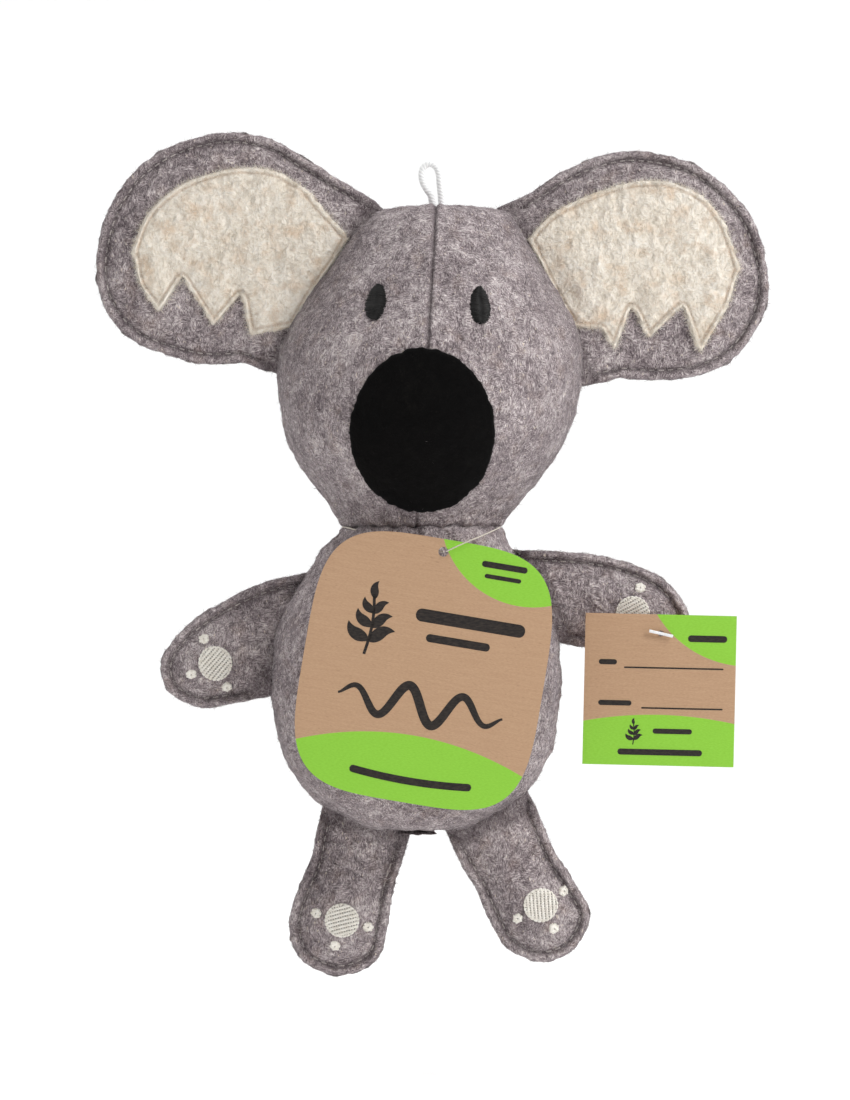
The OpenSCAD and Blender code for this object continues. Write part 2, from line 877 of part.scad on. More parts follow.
module gift_tag() {
    color(kraft)
        translate(gift_tag_pivot)
            rotate([0, gift_tag_turn, 0])
                standing(card_t / 2, card_t)
                    difference() {
                        translate([-gift_tag_w / 2, gift_tag_hole_down - gift_tag_w])
                            square(gift_tag_w);
                        circle(r = gift_tag_hole_r, $fn = 32);
                    }
}

// A thin stem from the paw out through the tag, with a cross bar in front
module gift_tag_pin() {
    stem_back = -limb_half_t - layer_gap;
    stem_l = stem_back - gift_tag_pivot[1] + pin_proud;
    color(cord_white)
        translate([gift_tag_pivot[0], stem_back, gift_tag_pivot[2]]) {
            rotate([90, 0, 0])
                cylinder(r = pin_r, h = stem_l, $fn = 24);
            translate([0, -stem_l, 0])
                rotate([0, 90 + pin_bar_tilt, 0])
                    cylinder(r = pin_bar_r, h = pin_bar_l, center = true, $fn = 24);
        }
}

hang_loop();
head_cover_left();
head_cover_right();
head_cover_back();
head_stuffing();
nose_patch();
eye_left();
eye_right();
ear_left_front_ply();
ear_left_back_ply();
ear_left_batting();
ear_left_insert();
ear_left_topstitch();
ear_right_front_ply();
ear_right_back_ply();
ear_right_batting();
ear_right_insert();
ear_right_topstitch();
neck_cover();
neck_stuffing();
neck_elastic();
body_cover_front();
body_cover_back();
body_stuffing();
squeaker_base();
squeaker_bellows();
squeaker_cap();
squeaker_whistle();
squeaker_reed();
arm_left_front_ply();
arm_left_back_ply();
arm_left_filling();
arm_left_paw_pads();
arm_left_topstitch();
arm_right_front_ply();
arm_right_back_ply();
arm_right_filling();
arm_right_paw_pads();
arm_right_topstitch();
leg_left_front_ply();
leg_left_back_ply();
leg_left_filling();
leg_left_paw_pads();
leg_left_topstitch();
leg_right_front_ply();
leg_right_back_ply();
leg_right_filling();
leg_right_paw_pads();
leg_right_topstitch();
hang_tag();
gift_tag();
gift_tag_pin();
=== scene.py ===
# %% [markdown]
# # A stuffed felt koala on a hang loop
# This lesson dresses a working model of a soft toy. The model already has every part in its
# place, with joints at the neck, ears, arms and legs. Here the plain solids get what the eye
# looks for: felted wool with its stray fibres, sewn edges, satin stitches, cord and card.
# Everything is in metres. The front of the toy is -Y and up is +Z.

# %% Load the working model
import json

import bpy
import numpy as np
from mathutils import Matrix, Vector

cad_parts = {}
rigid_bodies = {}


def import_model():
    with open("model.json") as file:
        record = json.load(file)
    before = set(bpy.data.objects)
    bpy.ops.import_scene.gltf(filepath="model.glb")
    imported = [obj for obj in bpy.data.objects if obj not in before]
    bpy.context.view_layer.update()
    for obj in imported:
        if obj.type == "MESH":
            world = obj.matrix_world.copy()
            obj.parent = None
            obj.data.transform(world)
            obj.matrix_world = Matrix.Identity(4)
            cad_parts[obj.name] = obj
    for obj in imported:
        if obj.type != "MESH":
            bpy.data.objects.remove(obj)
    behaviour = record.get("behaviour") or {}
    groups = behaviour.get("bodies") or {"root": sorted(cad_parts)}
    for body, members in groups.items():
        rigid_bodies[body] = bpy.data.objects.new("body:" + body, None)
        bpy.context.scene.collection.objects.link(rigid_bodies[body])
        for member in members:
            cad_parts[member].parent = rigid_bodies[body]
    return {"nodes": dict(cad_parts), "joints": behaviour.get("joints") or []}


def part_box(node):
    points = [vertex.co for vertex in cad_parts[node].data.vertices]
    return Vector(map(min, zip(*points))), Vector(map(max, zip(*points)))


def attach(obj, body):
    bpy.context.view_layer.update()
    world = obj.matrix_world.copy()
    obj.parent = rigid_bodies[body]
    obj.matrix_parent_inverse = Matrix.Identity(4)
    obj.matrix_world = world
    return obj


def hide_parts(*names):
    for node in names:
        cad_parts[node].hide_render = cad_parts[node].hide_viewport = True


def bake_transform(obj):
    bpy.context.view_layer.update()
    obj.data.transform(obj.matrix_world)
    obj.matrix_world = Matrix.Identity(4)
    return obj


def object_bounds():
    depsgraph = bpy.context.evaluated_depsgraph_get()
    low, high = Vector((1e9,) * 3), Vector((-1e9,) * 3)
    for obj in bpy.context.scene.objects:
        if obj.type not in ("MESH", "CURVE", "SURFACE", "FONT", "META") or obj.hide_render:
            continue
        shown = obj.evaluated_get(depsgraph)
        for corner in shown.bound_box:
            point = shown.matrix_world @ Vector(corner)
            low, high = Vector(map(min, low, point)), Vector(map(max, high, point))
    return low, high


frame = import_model()
cad_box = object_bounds()
MM = 0.001
scene = bpy.context.scene

# %% [markdown]
# ## Camera, backdrop and lights
# A toy like this is shown as a product: straight from the front, far away with a long lens so
# that nothing looks bent, on white. The toy hangs from its loop, so the floor lies just below
# the feet. One sheet that curves up behind it serves as floor and backdrop, which leaves no
# horizon line. A big soft light from the upper right gives the wool its shape, and a weaker one
# fills the other side.

# %% Camera
lo = cad_box[0]
CAMERA_AWAY = 1.375
CAMERA_SIDE = -1.67 * MM
CAMERA_HEIGHT = -127.7 * MM

camera_data = bpy.data.cameras.new("camera")
camera_data.lens = 135
camera_data.sensor_width = 36
camera = bpy.data.objects.new("camera", camera_data)
camera.location = (CAMERA_SIDE, -CAMERA_AWAY, CAMERA_HEIGHT)
camera.rotation_euler = (np.pi / 2, 0, 0)
scene.collection.objects.link(camera)
scene.camera = camera
print("camera stands", CAMERA_AWAY, "m in front")


# %% Meshes from whole arrays
def outward(points, quads, tris):
    """Turns every face round if the closed surface is inside out. The volume is a sixth of the
    sum, over all triangles, of corner a dotted with corner b crossed with corner c."""
    fans = np.concatenate([quads[:, [0, 1, 2]], quads[:, [0, 2, 3]], tris])
    a, b, c = points[fans[:, 0]], points[fans[:, 1]], points[fans[:, 2]]
    if np.einsum("ij,ij->", a, np.cross(b, c)) < 0:
        return quads[:, ::-1], tris[:, ::-1]
    return quads, tris


def mesh_object(name, points, quads, tris=None, closed=True, smooth=True):
    """One object at the origin from an array of points, one of four-cornered faces and one of
    three-cornered faces."""
    tris = np.zeros((0, 3), int) if tris is None else tris
    if closed:
        quads, tris = outward(points, quads, tris)
    sizes = np.concatenate([np.full(len(quads), 4), np.full(len(tris), 3)])
    corners = np.concatenate([quads.ravel(), tris.ravel()]).astype(np.int32)
    mesh = bpy.data.meshes.new(name)
    mesh.vertices.add(len(points))
    mesh.vertices.foreach_set("co", points.astype(np.float32).ravel())
    mesh.loops.add(len(corners))
    mesh.loops.foreach_set("vertex_index", corners)
    mesh.polygons.add(len(sizes))
    mesh.polygons.foreach_set("loop_start", (np.cumsum(sizes) - sizes).astype(np.int32))
    mesh.polygons.foreach_set("use_smooth", np.full(len(sizes), smooth))
    mesh.update(calc_edges=True)
    mesh.validate()
    made = bpy.data.objects.new(name, mesh)
    scene.collection.objects.link(made)
    return made


def paint(piece, name, values):
    """Stores one number per point on the piece, for its material to read by that name."""
    layer = piece.data.attributes.new(name, "FLOAT", "POINT")
    layer.data.foreach_set("value", np.asarray(values, np.float32).ravel())


def lay_uv(piece, u, v):
    """Gives each point of the piece its place (u, v) on the flat cloth or card."""
    corner_points = np.zeros(len(piece.data.loops), np.int32)
    piece.data.loops.foreach_get("vertex_index", corner_points)
    layer = piece.data.uv_layers.new(name="flat")
    flat = np.stack([np.ravel(u)[corner_points], np.ravel(v)[corner_points]], axis=1)
    layer.data.foreach_set("uv", flat.astype(np.float32).ravel())


def ring_quads(rows, cols, joined=False):
    """Faces between neighbouring closed rings of points. joined also closes the last ring onto
    the first one, as on a band that is bent into a hoop."""
    i, j = np.meshgrid(np.arange(rows if joined else rows - 1), np.arange(cols), indexing="ij")
    below, beside = (i + 1) % rows, (j + 1) % cols
    return np.stack([i * cols + j, i * cols + beside, below * cols + beside, below * cols + j],
                    axis=-1).reshape(-1, 4)


def ring_skin(name, rings, start, end):
    """A closed skin: rings of points joined in order, with one point closing each end."""
    rows, cols = rings.shape[:2]
    points = np.concatenate([rings.reshape(-1, 3), [start, end]])
    j = np.arange(cols)
    beside = (j + 1) % cols
    first, last = rows * cols, rows * cols + 1
    foot = (rows - 1) * cols
    tris = np.concatenate([
        np.stack([beside, j, np.full(cols, first)], axis=1),
        np.stack([foot + j, foot + beside, np.full(cols, last)], axis=1)])
    return mesh_object(name, points, ring_quads(rows, cols), tris)


print("mesh helpers ready")

# %% Backdrop and floor in one sheet
FLOOR_BELOW = 30 * MM
SWEEP_HALF_WIDTH = 3.0
SWEEP_BEND = 0.5
floor_z = lo.z - FLOOR_BELOW


def make_sweep():
    """A flat floor that turns up behind the toy along a quarter circle. Its profile is a row of
    points from front to back, carried from one side to the other."""
    bend = np.linspace(0, np.pi / 2, 24)
    y = np.concatenate([[-3.0], 1.1 + SWEEP_BEND * np.sin(bend), [1.1 + SWEEP_BEND]])
    z = np.concatenate([[0.0], SWEEP_BEND * (1 - np.cos(bend)), [3.5]]) + floor_z
    sides = np.array([-SWEEP_HALF_WIDTH, SWEEP_HALF_WIDTH])
    points = np.stack([np.broadcast_to(s, y.shape) for s in sides])
    grid = np.stack([points, np.broadcast_to(y, points.shape), np.broadcast_to(z, points.shape)],
                    axis=-1)
    n = len(y)
    k = np.arange(n - 1)
    quads = np.stack([k, n + k, n + k + 1, k + 1], axis=1)
    return mesh_object("sweep", grid.reshape(-1, 3), quads, closed=False)


sweep = make_sweep()
sweep_paper = bpy.data.materials.new("sweep_paper")
sweep_paper.use_nodes = True
sweep_shader = sweep_paper.node_tree.nodes["Principled BSDF"]
sweep_shader.inputs["Base Color"].default_value = (0.93, 0.93, 0.93, 1)
sweep_shader.inputs["Roughness"].default_value = 0.9
sweep.data.materials.append(sweep_paper)
print("floor at", round(floor_z, 4))

# %% Lights
TOY_MIDDLE = np.array([0.0, 0.0, CAMERA_HEIGHT])


def area_light(name, place, size, watts):
    """A square soft light that looks at the middle of the toy."""
    data = bpy.data.lights.new(name, "AREA")
    data.shape = "SQUARE"
    data.size = size
    data.energy = watts
    light = bpy.data.objects.new(name, data)
    light.location = place
    light.rotation_euler = (type(light.location)(TOY_MIDDLE) - light.location).to_track_quat(
        "-Z", "Y").to_euler()
    scene.collection.objects.link(light)
    return light


area_light("key", (0.95, -0.80, 0.65), 0.7, 13.5)
area_light("fill", (-1.0, -0.9, 0.25), 1.2, 1.2)
area_light("top", (0.1, 0.1, 1.3), 1.2, 6)
area_light("backdrop_left", (-1.2, 0.5, 0.9), 1.0, 14)
area_light("backdrop_right", (1.2, 0.5, 0.9), 1.0, 14)
world = bpy.data.worlds.new("studio")
world.use_nodes = True
world.node_tree.nodes["Background"].inputs["Color"].default_value = (1, 1, 1, 1)
world.node_tree.nodes["Background"].inputs["Strength"].default_value = 0.27
scene.world = world
scene.view_settings.view_transform = "Standard"

# %% [markdown]
# ## Cords first
# Two cords hold things on this toy. The hang loop is a short white twisted cord that crosses
# itself just above the head. The elastic is hair-thin: it runs round the neck, out through the
# hole of the big card and back. A cord could be a curve with a bevel, but a tube worked out ring
# by ring can carry its twist as real ridges, so it is a profile carried along a path. The routes
# are the working model's own points.


# %% Curves through points
def through(points, count, closed=False):
    """A smooth curve through points: a Catmull-Rom curve, resampled to count points. Between b
    and c, with a before and d after, it is half of
    2b + (c - a)t + (2a - 5b + 4c - d)t^2 + (3b - a - 3c + d)t^3."""
    p = np.asarray(points, float)
    n = len(p)
    spans = n if closed else n - 1
    s = np.linspace(0, spans, count, endpoint=not closed)
    k = np.minimum(s.astype(int), spans - 1)
    t = (s - k)[:, None]
    if closed:
        a, b, c, d = (p[(k + step) % n] for step in (-1, 0, 1, 2))
    else:
        ends = np.concatenate([[2 * p[0] - p[1]], p, [2 * p[-1] - p[-2]]])
        a, b, c, d = (ends[k + step] for step in (0, 1, 2, 3))
    return 0.5 * (2 * b + (c - a) * t + (2 * a - 5 * b + 4 * c - d) * t ** 2
                  + (3 * b - a - 3 * c + d) * t ** 3)


def evenly(points, count):
    """The same curve with its points the same distance apart."""
    steps = np.linalg.norm(np.diff(points, axis=0), axis=1)
    s = np.concatenate([[0], np.cumsum(steps)])
    want = np.linspace(0, s[-1], count)
    return np.stack([np.interp(want, s, points[:, k]) for k in range(points.shape[1])], axis=1)


def unit(v):
    """Each vector divided by its own length."""
    return v / np.maximum(np.linalg.norm(v, axis=-1, keepdims=True), 1e-12)


def tube_rings(path, radius, sides, up=(0.0, 1.0, 0.0)):
    """Rings round a path. At each point, side is the path's direction crossed with up, and a
    ring point is the path point plus radius times (side cos + over sin). radius may be one
    number or one per ring and side."""
    along = unit(np.gradient(path, axis=0))
    side = unit(np.cross(along, np.broadcast_to(up, along.shape)))
    over = np.cross(side, along)
    turn = np.linspace(0, 2 * np.pi, sides, endpoint=False)
    r = np.broadcast_to(radius, (len(path), sides))[..., None]
    return path[:, None] + r * (side[:, None] * np.cos(turn)[:, None]
                                + over[:, None] * np.sin(turn)[:, None])


def length_of(path):
    """The sum of the distances between neighbouring points."""
    return float(np.linalg.norm(np.diff(path, axis=0), axis=1).sum())


print("curve helpers ready")

# %% Hang loop: a twisted cord
LOOP_POINTS = MM * np.array([
    [2.6, -0.2, -15.5], [1.4, -0.3, -13.3],
    [0.6, -0.4, -11.2], [0.2, -0.5, -9.4], [-1.2, -0.3, -7.4], [-2.4, 0, -5], [-2.8, 0, -2.6],
    [-2.3, 0, -0.4], [-0.9, 0, 0.9], [0.8, 0, 0.9], [2.3, 0, -0.4], [3, 0, -2.6],
    [3.2, 0, -5], [3.4, 0.2, -7.4], [3.6, 0.3, -9.4], [3.7, 0.3, -11.2],
    [4.0, 0.2, -13.3], [4.4, 0.1, -15.5]])
LOOP_WIDTH = 2.4 * MM
LOOP_STRANDS = 3
LOOP_PITCH = 3.4 * MM


def make_hang_loop():
    """A tube whose radius rises and falls round it, and the pattern turns as it goes along, so
    that the ridges are strands laid round each other: r = R (0.84 + 0.16 |cos(n (a - 2 pi s / p)
    / 2)|), with n strands and pitch p."""
    path = evenly(through(LOOP_POINTS, 400), 260)
    s = np.linspace(0, length_of(path), len(path))[:, None]
    turn = np.linspace(0, 2 * np.pi, 24, endpoint=False)[None]
    ridge = np.abs(np.cos(LOOP_STRANDS * (turn - 2 * np.pi * s / LOOP_PITCH) / 2))
    rings = tube_rings(path, LOOP_WIDTH / 2 * (0.84 + 0.16 * ridge), 24)
    made = ring_skin("hang_cord", rings, path[0], path[-1])
    around = np.broadcast_to(turn / (2 * np.pi), ridge.shape)
    # Painted shade in the hollows between the strands, for the cord's colour to darken.
    paint(made, "hollow", np.append(1 - ridge.ravel(), [0, 0]))
    lay_uv(made, np.append((s / 0.01 + 0 * around).ravel(), [0, 0]),
           np.append(around.ravel(), [0, 0]))
    return made, path


hang_cord, hang_path = make_hang_loop()
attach(hang_cord, "loop")
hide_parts("hang_loop")
print("hang loop cord:", round(length_of(hang_path) / MM, 1), "mm")

# %% Neck elastic
ELASTIC_POINTS = MM * np.array([
    [4.3, -35.8, -128.3], [4, -33.2, -128.2], [0, -32.2, -127.6], [-6, -30.6, -126.3],
    [-14, -27, -124], [-21.5, -20.5, -122], [-26.5, -12, -120.5], [-29.1, -2, -120],
    [-28, 9, -120], [-22.5, 18, -120], [-13, 24, -120], [-3, 26, -120], [7, 24, -120],
    [16.5, 18, -120], [22, 9, -120], [23.3, -2, -120], [22, -14, -120.8], [19.5, -24, -121.9],
    [16.5, -32, -123.2], [13, -36.3, -124.6], [8.5, -37.2, -126.6], [5.2, -37, -128.2]])
ELASTIC_WIDTH = 0.45 * MM


def make_neck_elastic():
    """A round elastic with a fine ripple along it: r = R (0.93 + 0.07 cos(2 pi s / 0.9 mm))."""
    path = evenly(through(ELASTIC_POINTS, 1200), 900)
    s = np.linspace(0, length_of(path), len(path))[:, None]
    ripple = 0.93 + 0.07 * np.cos(2 * np.pi * s / (0.9 * MM))
    rings = tube_rings(path, ELASTIC_WIDTH / 2 * ripple, 8, up=(0.0, 0.0, 1.0))
    made = ring_skin("elastic_cord", rings, path[0], path[-1])
    # Painted shade in the dips of the ripple, for the cord's colour to darken.
    paint(made, "hollow", np.append(np.broadcast_to(1 - ripple, rings.shape[:2]).ravel(), [0, 0]))
    return made, path


elastic_cord, elastic_path = make_neck_elastic()
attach(elastic_cord, "neck")
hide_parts("neck_elastic")
print("elastic:", round(length_of(elastic_path) / MM, 1), "mm")

# %% [markdown]
# ## Felt that is never quite smooth
# Felted wool is soft, so its surface rises and falls a little, and its cut edges are ragged.
# A displace modifier could do this, but then stitches and patches wouldn't know how high the
# cloth lies under them. So the bumps are a function of place, added to the shape's own points,
# and whatever lies on the cloth asks the same grid for its height.


# %% Bumps and distances
def bumps(points, size, seed):
    """Value noise from -1 to 1: a random height at each corner of a lattice of cubes of that
    size, joined by smooth steps t^2 (3 - 2t) along all three axes."""
    cells = 32
    heights = np.random.default_rng(seed).uniform(-1, 1, (cells, cells, cells))
    scaled = points / size
    base = np.floor(scaled).astype(int)
    t = scaled - base
    t = t * t * (3 - 2 * t)
    total = np.zeros(points.shape[:-1])
    for corner in np.ndindex(2, 2, 2):
        share = np.prod(np.where(corner, t, 1 - t), axis=-1)
        i, j, k = ((base[..., axis] + corner[axis]) % cells for axis in range(3))
        total += share * heights[i, j, k]
    return total


def felt(points, seed=1):
    """How far felt stands out at each place: lumps of 14 mm, dents of 4 mm and pilling of 2 mm,
    each with its own height."""
    return MM * (0.48 * bumps(points, 14 * MM, seed) + 0.36 * bumps(points, 4.3 * MM, seed + 1)
                 + 0.27 * bumps(points, 2.0 * MM, seed + 2))


def distance_to(points, outline):
    """The distance from each point to the nearest place on a closed outline, both on a plane:
    each side of the outline from a to b is nearest at a + (b - a) clip((p - a).(b - a) / |b -
    a|^2, 0, 1)."""
    flat = points.reshape(-1, 2)
    best = np.full(len(flat), np.inf)
    for a, b in zip(outline, np.roll(outline, -1, axis=0)):
        side = b - a
        t = np.clip((flat - a) @ side / (side @ side), 0, 1)
        best = np.minimum(best, np.linalg.norm(flat - a - t[:, None] * side, axis=1))
    return best.reshape(points.shape[:-1])


def bell(x, width):
    """A bump of height 1 that fades out over width: e to the power -(x / width)^2."""
    return np.exp(-(x / width) ** 2)


def ease(x, low, high):
    """0 below low, 1 above high, and a smooth step t^2 (3 - 2t) between them."""
    t = np.clip((x - low) / (high - low), 0, 1)
    return t * t * (3 - 2 * t)


def normals_of(grid, wrap):
    """The outward direction at each grid point: the slope down the rows crossed with the slope
    along the columns, which run round and meet again if wrap is true."""
    down = np.gradient(grid, axis=0)
    if wrap:
        around = (np.roll(grid, -1, axis=1) - np.roll(grid, 1, axis=1)) / 2
    else:
        around = np.gradient(grid, axis=1)
    return unit(np.cross(down, around))


def sample(grid, row, col):
    """The grid's value at fractional rows and columns, from its four nearest points. Columns
    run round."""
    rows, cols = grid.shape[:2]
    row = np.clip(row, 0, rows - 1.001)
    i, j = np.floor(row).astype(int), np.floor(col).astype(int)
    t, s = (row - i)[..., None], (col - j)[..., None]
    i2, j, j2 = i + 1, j % cols, (j + 1) % cols
    return ((1 - t) * (1 - s) * grid[i, j] + (1 - t) * s * grid[i, j2]
            + t * (1 - s) * grid[i2, j] + t * s * grid[i2, j2])


print("felt at the origin stands out", round(float(felt(np.zeros((1, 3)))[0]) / MM, 3), "mm")

# %% [markdown]
# ## Head and body: stuffed skins
# The head is an egg of three felt panels: two meet in a seam down the middle of the face, and
# both meet the back panel behind the ears. The body is a smaller egg of two panels. The working
# model's panels are flat-sided, but their rows hold the true measures: at each height a middle,
# a half width, a front depth and a back depth. A smooth curve through those rows, carried round
# an ellipse, gives the skin: x = middle + width cos a, y = depth sin a. Sculpting could do the
# same, but this follows the working model exactly.


# %% Rows of the working model's cloth
def points_of(*nodes):
    """All points of these parts of the working model, in metres."""
    found = []
    for name in nodes:
        mesh = frame["nodes"][name].data
        flat = np.zeros(len(mesh.vertices) * 3, np.float32)
        mesh.vertices.foreach_get("co", flat)
        found.append(flat.reshape(-1, 3).astype(float))
    return np.concatenate(found)


def cloth_rows(*panels):
    """The rows of a panelled egg, from the top: height, middle, half width, front depth and back
    depth. A row is a height at which many points lie; the panels' inner sides have none."""
    found = points_of(*panels)
    heights, place, counts = np.unique(np.round(found[:, 2], 6), return_inverse=True,
                                       return_counts=True)
    rows = []
    for level in np.flatnonzero(counts > counts.max() / 4)[::-1]:
        ring = found[place.ravel() == level]
        left, right = ring[:, 0].min(), ring[:, 0].max()
        rows.append([heights[level], (left + right) / 2, (right - left) / 2,
                     -ring[:, 1].min(), ring[:, 1].max()])
    return np.array(rows)


head_rows = cloth_rows("head_cover_left", "head_cover_right", "head_cover_back")
body_rows = cloth_rows("body_cover_front", "body_cover_back")
neck_lo, neck_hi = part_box("neck_cover")
neck_x, neck_z = (neck_lo.x + neck_hi.x) / 2, (neck_lo.z + neck_hi.z) / 2
print("rows of the head and body:", len(head_rows), len(body_rows))

# %% Where head and body end at the neck
# height above the middle of the neck, half width, front depth, back depth
WAIST = MM * np.array([26.6, 27.6, 26.6])
TUCK = MM * np.array([23.5, 24.5, 23.5])
TUCK_END = MM * np.array([17.0, 17.0, 17.0])


def neck_row(rise, sizes):
    """A row of the waist, rise millimetres above the middle of the neck."""
    return np.array([[neck_z + rise * MM, neck_x, *sizes]])


head_profile_rows = np.concatenate([
    head_rows, neck_row(2.6, WAIST + 1.0 * MM), neck_row(0.9, WAIST), neck_row(-0.6, TUCK),
    neck_row(-1.2, TUCK_END)])
body_profile_rows = np.concatenate([
    neck_row(1.2, TUCK_END), neck_row(0.6, TUCK), neck_row(-0.9, WAIST),
    neck_row(-3.0, WAIST + 1.0 * MM), body_rows])


def smooth_profile(rows, count):
    """count rows, evenly spaced along a smooth curve through the given ones."""
    return evenly(through(rows, 1500), count)


head_profile = smooth_profile(head_profile_rows, 220)
body_profile = smooth_profile(body_profile_rows, 200)
print("profiles:", head_profile.shape, body_profile.shape)


# %% An egg from a profile, with seams
def seam_columns(count, seams):
    """Angles once round, from -180 to 180 degrees, up to seven times closer together near each
    seam, so that a seam's narrow groove has points to bend at."""
    fine = np.radians(np.linspace(-180, 180, 7200, endpoint=False))
    density = np.ones(len(fine))
    for seam in np.radians(seams):
        off = np.angle(np.exp(1j * (fine - seam)))
        density += 6 * bell(off, np.radians(4.5))
    total = np.concatenate([[0], np.cumsum(density)])
    return np.interp(np.linspace(0, total[-1], count, endpoint=False), total,
                     np.append(fine, np.pi))


def egg(profile, angles):
    """x = middle + width cos a, y = depth sin a with the front depth where sin a is negative,
    z = height."""
    height, middle, width, front, back = (profile[:, k, None] for k in range(5))
    x = middle + width * np.cos(angles)
    y = np.sin(angles) * np.where(np.sin(angles) < 0, front, back)
    return np.stack([x, y, np.broadcast_to(height, x.shape)], axis=-1)


SEAM_WIDTH = 0.55 * MM
SEAM_DEPTH = 0.8 * MM

# %% [markdown]
# The fill presses a skin outwards everywhere but at its seams, which hold it. Blender's cloth
# can work that out: a coarse copy of the skin is blown up for 20 frames with its seams pinned,
# and how far each place moved, up to a cap, is added to the fine skin. The fine skin itself
# isn't simulated, because it would take minutes and lose its narrow seams. At this pressure the
# coarse skin moves by less than 0.1 mm, so nearly all that is seen comes from the formulas.

# %% Blow up a skin between its seams
PRESSURE = 4.0
SWELL_CAP = 1.5 * MM
COARSE_ROWS = 46
COARSE_COLS = 80


def swell(name, profile, angles, seams):
    """How far the fill moves each point of an egg's fine grid: the movement of the coarse grid,
    limited to SWELL_CAP as move / max(1, |move| / cap), read at fractional rows and columns."""
    rows = np.linspace(0, len(profile) - 1, COARSE_ROWS)
    coarse = np.stack([np.interp(rows, np.arange(len(profile)), profile[:, k])
                       for k in range(5)], axis=1)
    turn = np.linspace(-np.pi, np.pi, COARSE_COLS, endpoint=False)
    before = egg(coarse, turn)
    skin = ring_skin(name, before, before[0].mean(0), before[-1].mean(0))
    to_seam = np.min([np.abs(np.angle(np.exp(1j * (turn - seam)))) for seam in np.radians(seams)],
                     axis=0)
    sewn = np.zeros((COARSE_ROWS, COARSE_COLS), bool)
    sewn[:, to_seam < np.radians(2.5)] = True
    sewn[:3] = sewn[-5:] = True
    pins = np.append(np.flatnonzero(sewn.ravel()), [sewn.size, sewn.size + 1])
    skin.vertex_groups.new(name="sewn").add(pins.tolist(), 1.0, "REPLACE")
    settings = skin.modifiers.new("cloth", "CLOTH").settings
    settings.vertex_group_mass = "sewn"
    settings.use_pressure = True
    settings.uniform_pressure_force = PRESSURE
    settings.effector_weights.gravity = 0.0
    settings.quality = 6
    for step in range(1, 21):
        scene.frame_set(step)
    settled = skin.evaluated_get(bpy.context.evaluated_depsgraph_get()).data
    after = np.zeros(len(settled.vertices) * 3, np.float32)
    settled.vertices.foreach_get("co", after)
    move = after.reshape(-1, 3)[:sewn.size].reshape(before.shape) - before
    bpy.data.objects.remove(skin)
    scene.frame_set(1)
    size = np.linalg.norm(move, axis=-1, keepdims=True)
    move = move / np.maximum(size / SWELL_CAP, 1)
    print(name, "moves up to", round(float(size.max()) / MM, 2), "mm before the cap")
    row = np.linspace(0, COARSE_ROWS - 1, len(profile))[:, None]
    col = ((angles + np.pi) / (2 * np.pi) * COARSE_COLS)[None]
    return sample(move, row + 0 * col, col + 0 * row)


def seam_shape(away):
    """A sewn seam across distance: a narrow groove between two low ridges."""
    return (-SEAM_DEPTH * bell(away, SEAM_WIDTH) + 0.3 * MM * bell(away - 1.7 * MM, 1.1 * MM))


class EggCloth:
    """A stuffed skin that can be asked for its surface at a place on its front."""

    def __init__(self, profile, angles, shape):
        self.profile, self.angles, self.grid = profile, angles, shape
        self.normals = normals_of(shape, True)

    def at(self, x, z):
        """The cloth's points and outward directions straight behind (x, z): the row is found
        from the height, and the column from cos a = (x - middle) / width."""
        index = np.arange(len(self.profile))
        order = np.argsort(self.profile[:, 0])
        row = np.interp(z, self.profile[order, 0], index[order])
        middle, width = (np.interp(row, index, self.profile[:, k]) for k in (1, 2))
        angle = -np.arccos(np.clip((x - middle) / width, -0.999, 0.999))
        col = np.interp(angle, self.angles, np.arange(len(self.angles)))
        return sample(self.grid, row, col), unit(sample(self.normals, row, col))


print("egg helpers ready")

# %% Head skin
FACE_SEAM_SHIFT = -1.3 * MM
head_angles = seam_columns(400, [-180, -90, 0])


def make_head():
    """The egg, plus felt bumps, minus the seams, with small gathers where the neck pulls in:
    height of a gather = sin(19 a) near the waist."""
    smooth = egg(head_profile, head_angles)
    smooth = smooth + swell("head_fill", head_profile, head_angles, [-180, -90, 0])
    out = normals_of(smooth, True)
    middle = head_profile[:, 1, None]
    face = np.abs(smooth[..., 0] - middle - FACE_SEAM_SHIFT)
    face = np.where(smooth[..., 1] < 0, face, 1.0)
    away = np.minimum(face, np.where(np.abs(smooth[..., 0] - middle) > 2 * MM,
                                     np.abs(smooth[..., 1]), 1.0))
    near_neck = bell(smooth[..., 2] - neck_z - 3 * MM, 6 * MM)
    gathers = 0.45 * MM * near_neck * np.sin(19 * head_angles + 3 * bumps(smooth, 20 * MM, 5))
    grid = smooth + out * (felt(smooth, 11) + seam_shape(away) + gathers)[..., None]
    top, bottom = grid[0].mean(0) + [0, 0, 0.1 * MM], grid[-1].mean(0)
    made = ring_skin("head_skin", grid, top, bottom)
    # Painted shade in the seam grooves, for the wool's colour to darken.
    paint(made, "seam_shade", np.append(0.75 * bell(away, 0.8 * MM).ravel(), [0, 0]))
    calm = smooth + out * (0.5 * felt(smooth, 11))[..., None]
    return (made, EggCloth(head_profile, head_angles, grid),
            EggCloth(head_profile, head_angles, calm))


head_skin, head_cloth, face_cloth = make_head()
print("head skin:", len(head_skin.data.polygons), "faces")

# %% Body skin
body_angles = seam_columns(360, [-180, 0])


